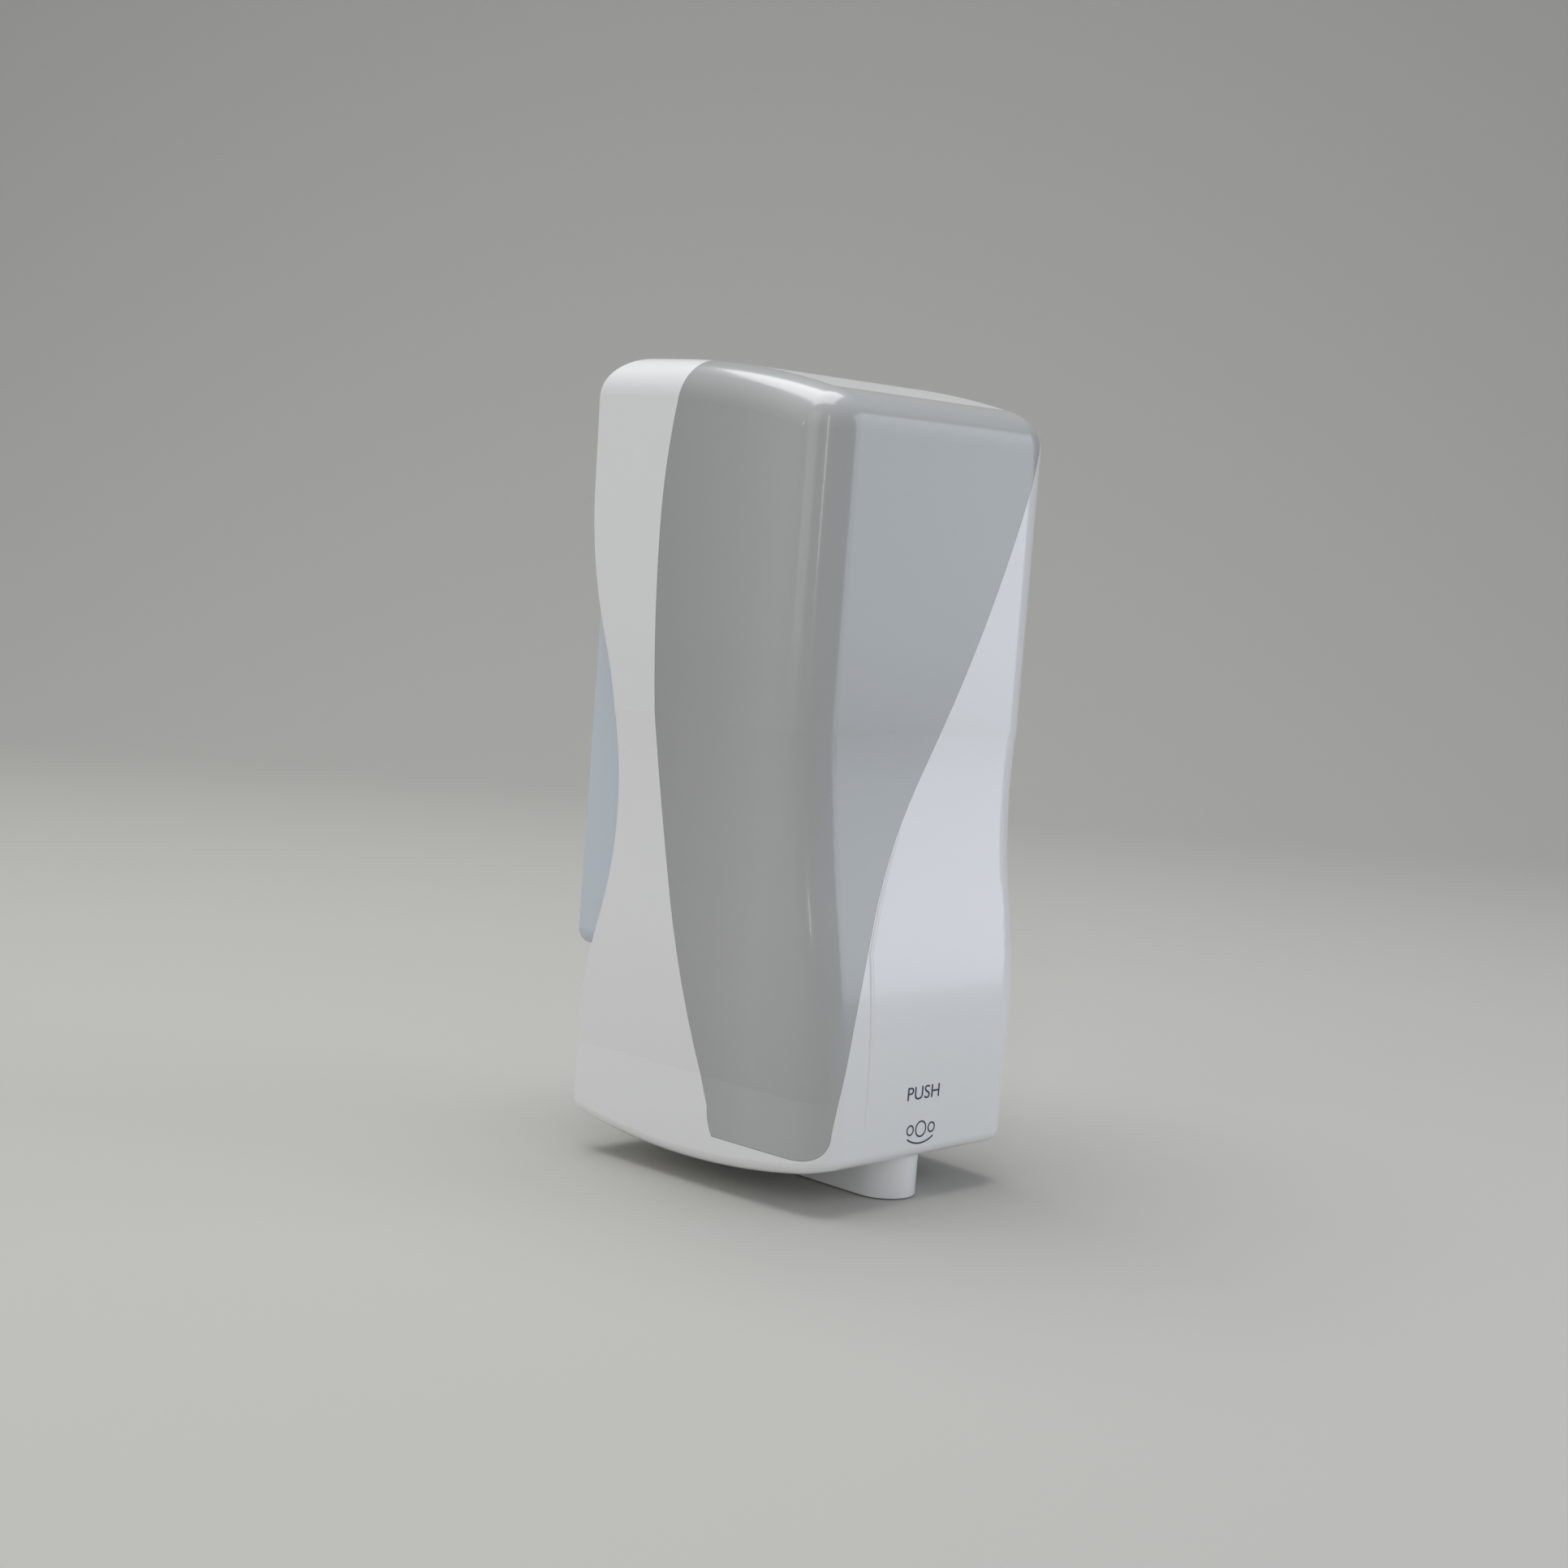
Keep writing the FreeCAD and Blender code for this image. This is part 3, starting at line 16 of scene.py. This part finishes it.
import bpy
import numpy as np
from mathutils import Matrix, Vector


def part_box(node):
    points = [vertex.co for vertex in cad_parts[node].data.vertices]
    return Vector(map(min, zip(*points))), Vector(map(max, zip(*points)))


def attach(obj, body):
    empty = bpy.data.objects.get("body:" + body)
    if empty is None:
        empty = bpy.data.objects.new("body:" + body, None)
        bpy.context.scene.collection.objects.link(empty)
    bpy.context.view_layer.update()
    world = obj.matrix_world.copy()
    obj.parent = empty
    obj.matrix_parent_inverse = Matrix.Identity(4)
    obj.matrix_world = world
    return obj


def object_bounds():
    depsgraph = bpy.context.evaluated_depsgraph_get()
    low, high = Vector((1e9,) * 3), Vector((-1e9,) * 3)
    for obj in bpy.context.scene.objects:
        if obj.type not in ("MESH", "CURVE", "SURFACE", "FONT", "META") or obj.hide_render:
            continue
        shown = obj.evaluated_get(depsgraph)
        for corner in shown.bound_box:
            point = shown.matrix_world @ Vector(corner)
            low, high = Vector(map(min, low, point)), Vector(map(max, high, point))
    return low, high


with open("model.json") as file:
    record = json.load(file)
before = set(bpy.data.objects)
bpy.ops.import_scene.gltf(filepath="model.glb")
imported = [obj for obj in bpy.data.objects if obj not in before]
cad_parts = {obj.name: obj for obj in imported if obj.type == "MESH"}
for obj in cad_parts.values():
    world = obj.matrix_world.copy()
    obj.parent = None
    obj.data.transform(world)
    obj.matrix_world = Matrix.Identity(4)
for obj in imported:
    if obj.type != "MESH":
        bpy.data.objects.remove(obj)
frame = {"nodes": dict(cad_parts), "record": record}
CAD_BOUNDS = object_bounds()

LOG = logging.getLogger("dispenser")
MM = 0.001


# ---------------------------------------------------------------- finishes

class Effect(Enum):
    """Which shared node group breaks up a finish."""

    GRAIN = "surface_grain"
    BRUSHED = "brushed_grain"
    WEAVE = "woven_screen"


@dataclass(frozen=True)
class Finish:
    """One material: constant values on the shader, and the group that varies them.

    Attributes:
        slot: material slot name in the CAD record, and the material's name.
        colour: linear base colour.
        roughness: middle of the roughness range.
        spread: how far the roughness wanders either side.
        grain: size of the grain, as cells per metre.
        relief: height of the bump, in metres.
        metallic, coat, alpha, transmission: shader values.
        effect: node group that makes the variation.
    """

    slot: str
    colour: tuple[float, float, float]
    roughness: float
    spread: float = 0.05
    grain: float = 900.0
    relief: float = 0.00002
    metallic: float = 0.0
    coat: float = 0.0
    alpha: float = 1.0
    transmission: float = 0.0
    subsurface: float = 0.0
    effect: Effect = Effect.GRAIN


FINISHES: tuple[Finish, ...] = (
    Finish("cover_white", (0.84, 0.845, 0.855), 0.16, 0.03, 600.0, 0.000012, coat=0.35),
    Finish("panel_grey", (0.42, 0.43, 0.43), 0.20, 0.03, 500.0, 0.000008, coat=0.35),
    Finish("plate_plastic", (0.60, 0.66, 0.72), 0.38, 0.06, 900.0, 0.00002),
    Finish("mechanism_plastic", (0.075, 0.082, 0.095), 0.42, 0.08, 900.0, 0.00003),
    Finish("bush_plastic", (0.72, 0.71, 0.66), 0.35, 0.05, 900.0, 0.00002),
    Finish("steel", (0.56, 0.57, 0.58), 0.30, 0.12, 1400.0, 0.00001, metallic=1.0,
           effect=Effect.BRUSHED),
    Finish("spring_steel", (0.42, 0.43, 0.45), 0.34, 0.10, 1800.0, 0.00001, metallic=1.0,
           effect=Effect.BRUSHED),
    Finish("bottle_plastic", (0.86, 0.91, 0.94), 0.12, 0.04, 300.0, 0.00002, alpha=0.42),
    Finish("collar_plastic", (0.78, 0.79, 0.80), 0.30, 0.05, 900.0, 0.00002),
    Finish("pump_plastic", (0.80, 0.81, 0.81), 0.28, 0.05, 900.0, 0.00002),
    Finish("tip_plastic", (0.27, 0.35, 0.44), 0.45, 0.06, 900.0, 0.00002),
    Finish("seal_rubber", (0.018, 0.018, 0.020), 0.62, 0.12, 1500.0, 0.00004),
    Finish("mesh", (0.62, 0.62, 0.58), 0.75, 0.10, 3000.0, 0.00008, effect=Effect.WEAVE),
    Finish("lock_chrome", (0.62, 0.63, 0.65), 0.14, 0.05, 1200.0, 0.000008, metallic=1.0,
           effect=Effect.BRUSHED),
    Finish("lock_brass", (0.60, 0.44, 0.17), 0.28, 0.08, 1200.0, 0.00001, metallic=1.0,
           effect=Effect.BRUSHED),
    Finish("mark_ink", (0.012, 0.022, 0.075), 0.45, 0.05, 900.0, 0.00001),
    Finish("soap", (0.55, 0.75, 0.80), 0.06, 0.02, 200.0, 0.00001, alpha=0.55),
)


class NodeKit:
    """Small helper that adds and links shader nodes in one tree."""

    def __init__(self, tree: bpy.types.NodeTree) -> None:
        self.tree = tree

    def add(self, kind: str, **values: object) -> bpy.types.Node:
        """Adds a node.

        Args:
            kind: Blender's node type name.
            values: node attributes to set.

        Returns:
            The new node.
        """
        node = self.tree.nodes.new(kind)
        for name, value in values.items():
            setattr(node, name, value)
        return node

    def link(self, source: bpy.types.NodeSocket, target: bpy.types.NodeSocket) -> None:
        """Joins an output to an input."""
        self.tree.links.new(source, target)

    def math(self, operation: str, first: object, second: object = 0.0) -> bpy.types.NodeSocket:
        """Adds a Math node whose inputs are sockets or numbers.

        Returns:
            The result's socket.
        """
        node = self.add("ShaderNodeMath", operation=operation)
        for socket, value in zip(node.inputs, (first, second)):
            if isinstance(value, (int, float)):
                socket.default_value = value
            else:
                self.link(value, socket)
        return node.outputs[0]


class EffectLibrary:
    """Builds each shared node group once."""

    INPUTS = (("Grain", 900.0), ("Roughness", 0.3), ("Spread", 0.05))
    STRETCH = {Effect.GRAIN: (1.0, 1.0, 1.0), Effect.BRUSHED: (0.06, 1.0, 1.0),
               Effect.WEAVE: (1.0, 1.0, 1.0)}

    def __init__(self) -> None:
        self.groups: dict[Effect, bpy.types.NodeTree] = {}

    def group(self, effect: Effect) -> bpy.types.NodeTree:
        """Returns the node group of an effect, made at its first use."""
        if effect not in self.groups:
            self.groups[effect] = self._build(effect)
        return self.groups[effect]

    def _build(self, effect: Effect) -> bpy.types.NodeTree:
        tree = bpy.data.node_groups.new(effect.value, "ShaderNodeTree")
        for name, value in self.INPUTS:
            socket = tree.interface.new_socket(name, in_out="INPUT", socket_type="NodeSocketFloat")
            socket.default_value = value
        for name in ("Roughness", "Height"):
            tree.interface.new_socket(name, in_out="OUTPUT", socket_type="NodeSocketFloat")
        kit = NodeKit(tree)
        entry, leave = kit.add("NodeGroupInput"), kit.add("NodeGroupOutput")
        coords = kit.add("ShaderNodeTexCoord")
        stretch = kit.add("ShaderNodeMapping")
        stretch.inputs["Scale"].default_value = self.STRETCH[effect]
        kit.link(coords.outputs["Object"], stretch.inputs["Vector"])
        height = self._pattern(kit, effect, stretch.outputs[0], entry.outputs["Grain"])
        broad = kit.add("ShaderNodeTexNoise", noise_dimensions="3D")
        broad.inputs["Scale"].default_value = 28.0
        broad.inputs["Detail"].default_value = 3.0
        kit.link(coords.outputs["Object"], broad.inputs["Vector"])
        mixed = kit.math("ADD", kit.math("MULTIPLY", height, 0.5),
                         kit.math("MULTIPLY", broad.outputs["Fac"], 0.5))
        wander = kit.math("MULTIPLY", kit.math("SUBTRACT", mixed, 0.5), entry.outputs["Spread"])
        rough = kit.math("ADD", entry.outputs["Roughness"], kit.math("MULTIPLY", wander, 2.0))
        kit.link(rough, leave.inputs["Roughness"])
        kit.link(height, leave.inputs["Height"])
        return tree

    def _pattern(self, kit: NodeKit, effect: Effect, vector: bpy.types.NodeSocket,
                 grain: bpy.types.NodeSocket) -> bpy.types.NodeSocket:
        if effect is Effect.WEAVE:
            waves = []
            for direction in ("X", "Y"):
                wave = kit.add("ShaderNodeTexWave", bands_direction=direction)
                kit.link(vector, wave.inputs["Vector"])
                kit.link(grain, wave.inputs["Scale"])
                waves.append(wave.outputs["Fac"])
            return kit.math("MULTIPLY", waves[0], waves[1])
        noise = kit.add("ShaderNodeTexNoise", noise_dimensions="3D")
        noise.inputs["Detail"].default_value = 2.0
        kit.link(vector, noise.inputs["Vector"])
        kit.link(grain, noise.inputs["Scale"])
        return noise.outputs["Fac"]


class FinishLibrary:
    """Makes each material once, from its Finish."""

    def __init__(self, finishes: Sequence[Finish]) -> None:
        self.finishes = {finish.slot: finish for finish in finishes}
        self.effects = EffectLibrary()
        self.made: dict[str, bpy.types.Material] = {}

    def material(self, slot: str) -> bpy.types.Material:
        """Returns the material of a slot.

        Args:
            slot: name of a slot in FINISHES.
        """
        if slot not in self.made:
            self.made[slot] = self._build(self.finishes[slot])
        return self.made[slot]

    def _build(self, finish: Finish) -> bpy.types.Material:
        material = bpy.data.materials.new(finish.slot)
        material.use_nodes = True
        tree = material.node_tree
        shader = tree.nodes["Principled BSDF"]
        values = {"Base Color": (*finish.colour, 1.0), "Metallic": finish.metallic,
                  "Coat Weight": finish.coat, "Coat Roughness": 0.06, "Alpha": finish.alpha,
                  "Transmission Weight": finish.transmission,
                  "Subsurface Weight": finish.subsurface, "Roughness": finish.roughness}
        for name, value in values.items():
            shader.inputs[name].default_value = value
        kit = NodeKit(tree)
        effect = kit.add("ShaderNodeGroup", node_tree=self.effects.group(finish.effect))
        for name, value in (("Grain", finish.grain), ("Roughness", finish.roughness),
                            ("Spread", finish.spread)):
            effect.inputs[name].default_value = value
        bump = kit.add("ShaderNodeBump")
        bump.inputs["Distance"].default_value = finish.relief
        kit.link(effect.outputs["Roughness"], shader.inputs["Roughness"])
        kit.link(effect.outputs["Height"], bump.inputs["Height"])
        kit.link(bump.outputs["Normal"], shader.inputs["Normal"])
        # The panel's grey also gets painted sheen and painted shade, set by its place along Y.
        if finish.slot == "panel_grey":
            self._paint_panel_sheen_and_shade(kit, shader, finish)
        return material

    def _paint_panel_sheen_and_shade(self, kit: NodeKit, shader: bpy.types.Node, finish: Finish) -> None:
        """Paints light onto the panel's grey: a painted sheen lightens it softly towards its front
        corner, and painted shade darkens it towards the back.
        """
        coords, split = kit.add("ShaderNodeTexCoord"), kit.add("ShaderNodeSeparateXYZ")
        kit.link(coords.outputs["Object"], split.inputs[0])
        ramp = kit.add("ShaderNodeValToRGB")
        # Gains along Y: above 1 is painted sheen near the front corner, below 1 is painted shade
        # towards the back.
        sheen_and_shade_stops = ((0.0, 1.06), (0.25, 1.10), (0.55, 1.0), (1.0, 0.90))
        while len(ramp.color_ramp.elements) < len(sheen_and_shade_stops):
            ramp.color_ramp.elements.new(0.5)
        for element, (place, painted_light_gain) in zip(ramp.color_ramp.elements, sheen_and_shade_stops):
            element.position = place
            element.color = (*[channel * painted_light_gain for channel in finish.colour], 1.0)
        along = kit.add("ShaderNodeMapRange")
        along.inputs["From Min"].default_value = -0.111
        along.inputs["From Max"].default_value = -0.035
        kit.link(split.outputs["Y"], along.inputs["Value"])
        kit.link(along.outputs[0], ramp.inputs["Fac"])
        kit.link(ramp.outputs["Color"], shader.inputs["Base Color"])


# ---------------------------------------------------------------- meshes

def make_mesh(name: str, points: np.ndarray, faces: Sequence[Sequence[int]],
              smooth: bool = True) -> bpy.types.Object:
    """Makes a mesh object at the origin.

    Args:
        name: object's name.
        points: N x 3 positions in metres.
        faces: vertex indices of each face.
        smooth: whether faces are shaded smooth.

    Returns:
        The linked object.
    """
    mesh = bpy.data.meshes.new(name)
    mesh.from_pydata(points.tolist(), [], [list(face) for face in faces])
    mesh.polygons.foreach_set("use_smooth", np.full(len(mesh.polygons), smooth))
    mesh.validate()
    mesh.update()
    made = bpy.data.objects.new(name, mesh)
    bpy.context.collection.objects.link(made)
    return made


def grid_faces(rows: int, columns: int, wrap: bool = False) -> np.ndarray:
    """Quads of a rows x columns grid of vertices.

    Args:
        rows, columns: size of the grid.
        wrap: whether the last column joins the first.

    Returns:
        M x 4 vertex indices.
    """
    row, column = np.meshgrid(np.arange(rows - 1), np.arange(columns if wrap else columns - 1),
                              indexing="ij")
    beside = (column + 1) % columns
    first = row * columns + column
    second = row * columns + beside
    return np.stack([first, second, second + columns, first + columns], -1).reshape(-1, 4)


@dataclass(frozen=True)
class PieceMaker:
    """Gives a new piece its body, slot and material."""

    finishes: FinishLibrary

    def finish(self, piece: bpy.types.Object, body: str, slot: str) -> bpy.types.Object:
        """Dresses a piece and makes it ride.

        Args:
            piece: object to dress.
            body: CAD body that it moves with.
            slot: finish to use.

        Returns:
            The same object.
        """
        piece.data.materials.clear()
        piece.data.materials.append(self.finishes.material(slot))
        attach(piece, body)
        return piece


def surface_ahead(nodes: Sequence[str], across: float, height: float) -> np.ndarray | None:
    """Finds the frontmost surface point of some CAD nodes.

    Args:
        nodes: names of the nodes to look at.
        across, height: X and Z of the wanted point.

    Returns:
        The point's position and its normal, one after the other, or None if nothing is there.
    """
    nearest = None
    for name in nodes:
        found, spot, normal, _ = frame["nodes"][name].ray_cast(
            (across, CAD_BOUNDS[0][1] - 0.05, height), (0.0, 1.0, 0.0))
        if found and (nearest is None or spot.y < nearest[1]):
            nearest = np.array([*spot, *normal])
    return nearest


# ---------------------------------------------------------------- added pieces

@dataclass(frozen=True)
class CoverMarks:
    """Printed word and foam sign, low on the cover's front.

    Attributes:
        maker: dresses the pieces.
        word, word_width, word_height, word_z: what is printed, its size and middle.
        sign_radii: radii of the sign's bubbles.
        sign_z: Z of the middle of the bubbles.
        line: width of the sign's lines.
        lift: how far the ink stands off the surface.
    """

    maker: PieceMaker
    word: str = "PUSH"
    word_width: float = 16.5 * MM
    word_height: float = 4.6 * MM
    word_z: float = -125.2 * MM
    sign_radii: tuple[float, ...] = (1.9 * MM, 2.9 * MM, 1.9 * MM)
    sign_z: float = -137.9 * MM
    line: float = 0.55 * MM
    lift: float = 0.06 * MM

    def build(self) -> None:
        """Makes both marks."""
        self._word()
        self._sign()

    def _print(self, name: str, flat: np.ndarray, faces: Sequence[Sequence[int]]) -> None:
        """Lays flat X, Z points on the front of the cover and inks them."""
        points = []
        for across, height in flat:
            spot = surface_ahead(("cover_shell", "window_panel"), float(across), float(height))
            points.append(spot[:3] + self.lift * spot[3:])
        piece = make_mesh(name, np.array(points), faces, smooth=False)
        self.maker.finish(piece, "cover", "mark_ink")

    def _word(self) -> None:
        data = bpy.data.curves.new("word_outline", "FONT")
        data.body, data.resolution_u = self.word, 6
        text = bpy.data.objects.new("word_outline", data)
        mesh = bpy.data.meshes.new_from_object(text)
        flat = np.empty(len(mesh.vertices) * 3)
        mesh.vertices.foreach_get("co", flat)
        flat = flat.reshape(-1, 3)[:, :2]
        low, high = flat.min(0), flat.max(0)
        flat = (flat - (low + high) / 2) / (high - low) * (self.word_width, self.word_height)
        faces = [list(face.vertices) for face in mesh.polygons]
        bpy.data.objects.remove(text)
        self._print("mark_word", flat + (0.0, self.word_z), faces)

    def _sign(self) -> None:
        """Three bubbles side by side over the curve of a palm."""
        gap, left = 0.7 * MM, -sum(self.sign_radii) - 0.7 * MM
        for index, radius in enumerate(self.sign_radii):
            middle = left + radius
            self._band("mark_bubble_%d" % index, (middle, self.sign_z), radius, (0.0, 360.0))
            left += 2 * radius + gap
        palm = 13.0 * MM
        self._band("mark_palm", (0.0, self.sign_z + palm - 5.2 * MM), palm, (238.0, 302.0))

    def _band(self, name: str, middle: tuple[float, float], radius: float,
              sweep: tuple[float, float]) -> None:
        """Prints a line of constant width along an arc, given in degrees."""
        angle = np.radians(np.linspace(*sweep, 49))
        ring = np.stack([np.cos(angle), np.sin(angle)], -1)
        radii = np.array([radius - self.line, radius])
        flat = (ring[:, None] * radii[None, :, None]).reshape(-1, 2) + middle
        self._print(name, flat, grid_faces(len(angle), 2).tolist())


@dataclass(frozen=True)
class SeamRoll:
    """Soft rolled lip on the white side of the S-shaped seam.

    Attributes:
        maker: dresses the piece.
        bottom, top: Z range of the roll.
        width, rise: its widest and highest.
        clearance: gap between the panel's edge and the roll.
    """

    maker: PieceMaker
    bottom: float = -136.0 * MM
    top: float = -36.0 * MM
    width: float = 2.0 * MM
    rise: float = 0.40 * MM
    clearance: float = 0.7 * MM

    def build(self) -> None:
        """Sweeps a half-round lip along the seam."""
        heights = np.linspace(self.bottom, self.top, 81)
        fade = np.sin(np.linspace(0.0, math.pi, len(heights))) ** 0.4
        turn = np.linspace(0.0, math.pi, 13)
        rows = []
        for height, strength in zip(heights, fade):
            start = self._panel_edge(float(height)) + self.clearance
            offsets = (1 - np.cos(turn)) / 2 * self.width * max(strength, 0.05)
            bulge = np.sin(turn) * self.rise * strength - 0.04 * MM
            for offset, out in zip(offsets, bulge):
                spot = surface_ahead(("cover_shell",), start + float(offset), float(height))
                rows.append(spot[:3] + out * spot[3:])
        faces = grid_faces(len(heights), len(turn))
        piece = make_mesh("seam_roll", np.array(rows), faces.tolist())
        self.maker.finish(piece, "cover", "cover_white")

    def _panel_edge(self, height: float) -> float:
        """X of the panel's edge at a height, found by halving."""
        inside, outside = -30.0 * MM, CAD_BOUNDS[1][0]
        for _ in range(18):
            middle = (inside + outside) / 2
            if surface_ahead(("window_panel",), middle, height) is None:
                outside = middle
            else:
                inside = middle
        return inside


@dataclass(frozen=True)
class SoapFill:
    """Liquid soap inside the bottle, up to a level below its top.

    Attributes:
        maker: dresses the piece.
        clearance: gap to the bottle's wall.
        headroom: empty height at the top of the bottle.
        above_pump: how far over the pump the soap's body begins.
    """

    maker: PieceMaker
    clearance: float = 0.4 * MM
    headroom: float = 32.0 * MM
    above_pump: float = 9.0 * MM

    def build(self) -> None:
        """Follows the inside of the bottle with rays from its axis."""
        bottle = frame["nodes"]["refill_bottle"]
        low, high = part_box("bottle_collar")
        axis = ((low[0] + high[0]) / 2, (low[1] + high[1]) / 2)
        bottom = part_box("pump_cylinder")[1][2] + self.above_pump
        heights = np.linspace(bottom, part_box("refill_bottle")[1][2] - self.headroom, 40)
        angles = np.linspace(0.0, 2 * math.pi, 96, endpoint=False)
        points = []
        for height in heights:
            for angle in angles:
                heading = (math.cos(angle), math.sin(angle), 0.0)
                _, spot, _, _ = bottle.ray_cast((*axis, float(height)), heading)
                reach = math.hypot(spot.x - axis[0], spot.y - axis[1]) - self.clearance
                points.append((axis[0] + heading[0] * reach, axis[1] + heading[1] * reach, height))
        faces = grid_faces(len(heights), len(angles), wrap=True).tolist()
        last = (len(heights) - 1) * len(angles)
        faces += [list(range(len(angles)))[::-1], list(range(last, last + len(angles)))]
        piece = make_mesh("soap_fill", np.array(points), faces)
        self.maker.finish(piece, "wall_unit", "soap")


# ---------------------------------------------------------------- studio

@dataclass(frozen=True)
class Lamp:
    """One soft area light that looks at a point."""

    name: str
    place: tuple[float, float, float]
    target: tuple[float, float, float]
    size: tuple[float, float]
    power: float
    colour: tuple[float, float, float] = (1.0, 1.0, 1.0)


@dataclass
class Studio:
    """Camera, floor and backdrop in one sweep, and soft light."""

    eye: tuple[float, float, float] = (-0.63025, -0.63912, 0.05791)
    right: tuple[float, float, float] = (0.68816, -0.72150, 0.07664)
    above: tuple[float, float, float] = (0.02048, 0.12490, 0.99196)
    ahead: tuple[float, float, float] = (0.72527, 0.68106, -0.10073)
    lens_mm: float = 56.09
    floor_z: float = -0.1632
    floor_colour: tuple[float, float, float] = (0.50, 0.495, 0.465)
    ambient: float = 0.42
    lamps: tuple[Lamp, ...] = (
        Lamp("overhead", (-0.1, 0.25, 1.5), (0.0, 0.0, 0.0), (1.3, 1.3), 19.0),
        Lamp("cool_right", (1.3, -1.4, 0.5), (0.0, -0.1, 0.0), (1.2, 1.4), 9.0,
             (0.80, 0.88, 1.0)),
        Lamp("warm_left", (-1.6, 0.1, 0.6), (0.0, 0.0, 0.0), (0.9, 1.4), 3.0,
             (1.0, 0.95, 0.86)),
        Lamp("corner_strip", (-1.30, -1.02, 0.55), (-0.05, -0.1, 0.0), (0.07, 1.1), 1.6),
    )

    def build(self) -> None:
        """Makes everything that isn't part of the object."""
        self._camera()
        self._sweep()
        self._world()
        for lamp in self.lamps:
            self._lamp(lamp)
        bpy.context.scene.view_settings.view_transform = "Standard"

    def _camera(self) -> None:
        data = bpy.data.cameras.new("camera")
        data.lens, data.sensor_width = self.lens_mm, 36.0
        data.clip_start, data.clip_end = 0.01, 50.0
        camera = bpy.data.objects.new("camera", data)
        turn = np.eye(4)
        turn[:3, 0], turn[:3, 1] = self.right, self.above
        turn[:3, 2], turn[:3, 3] = -np.array(self.ahead), self.eye
        camera.matrix_world = Matrix(turn.tolist())
        bpy.context.collection.objects.link(camera)
        bpy.context.scene.camera = camera

    def _sweep(self) -> None:
        """Floor that curves up behind the object, across the view's direction."""
        heading = np.array([self.ahead[0], self.ahead[1], 0.0])
        heading /= np.linalg.norm(heading)
        side = np.array([heading[1], -heading[0], 0.0])
        near, bend, radius, tall = -3.0, 1.1, 1.0, 3.0
        angle = np.linspace(0.0, math.pi / 2, 33)
        along = np.concatenate([[near], bend + radius * np.sin(angle), [bend + radius]])
        height = np.concatenate([[0.0], radius * (1 - np.cos(angle)), [tall]])
        across = np.linspace(-4.0, 4.0, 9)
        points = (along[:, None, None] * heading + across[None, :, None] * side
                  + height[:, None, None] * np.array([0, 0, 1.0]))
        points[..., 2] += self.floor_z
        sweep = make_mesh("sweep", points.reshape(-1, 3), grid_faces(len(along), len(across)))
        paper = bpy.data.materials.new("paper")
        paper.use_nodes = True
        shader = paper.node_tree.nodes["Principled BSDF"]
        shader.inputs["Base Color"].default_value = (*self.floor_colour, 1.0)
        shader.inputs["Roughness"].default_value = 0.75
        sweep.data.materials.append(paper)

    def _world(self) -> None:
        world = bpy.data.worlds.new("studio")
        world.use_nodes = True
        back = world.node_tree.nodes["Background"]
        back.inputs["Color"].default_value = (0.93, 0.95, 1.0, 1.0)
        back.inputs["Strength"].default_value = self.ambient
        bpy.context.scene.world = world

    def _lamp(self, lamp: Lamp) -> None:
        data = bpy.data.lights.new(lamp.name, "AREA")
        data.shape, data.energy, data.color = "RECTANGLE", lamp.power, lamp.colour
        data.size, data.size_y = lamp.size
        made = bpy.data.objects.new(lamp.name, data)
        place = np.array(lamp.place)
        back = place - np.array(lamp.target)
        back /= np.linalg.norm(back)
        side = np.cross((0.0, 0.0, 1.0), back)
        side /= np.linalg.norm(side)
        turn = np.eye(4)
        turn[:3, 0], turn[:3, 1], turn[:3, 2] = side, np.cross(back, side), back
        turn[:3, 3] = place
        made.matrix_world = Matrix(turn.tolist())
        bpy.context.collection.objects.link(made)


# ---------------------------------------------------------------- the object

@dataclass
class CadFinisher:
    """Puts the finishes on the CAD nodes."""

    finishes: FinishLibrary

    def apply(self) -> None:
        """Gives every CAD node the finish of its slot in the record."""
        for entry in frame["record"]["subparts"]:
            node = frame["nodes"][entry["node"]]
            node.data.materials.clear()
            node.data.materials.append(self.finishes.material(entry["material_slot"]))


def main() -> None:
    """Builds the scene."""
    finishes = FinishLibrary(FINISHES)
    Studio().build()
    CadFinisher(finishes).apply()
    maker = PieceMaker(finishes)
    for group in (CoverMarks(maker), SeamRoll(maker), SoapFill(maker)):
        group.build()


if __name__ == "__main__":
    logging.basicConfig(level=logging.INFO)
    main()
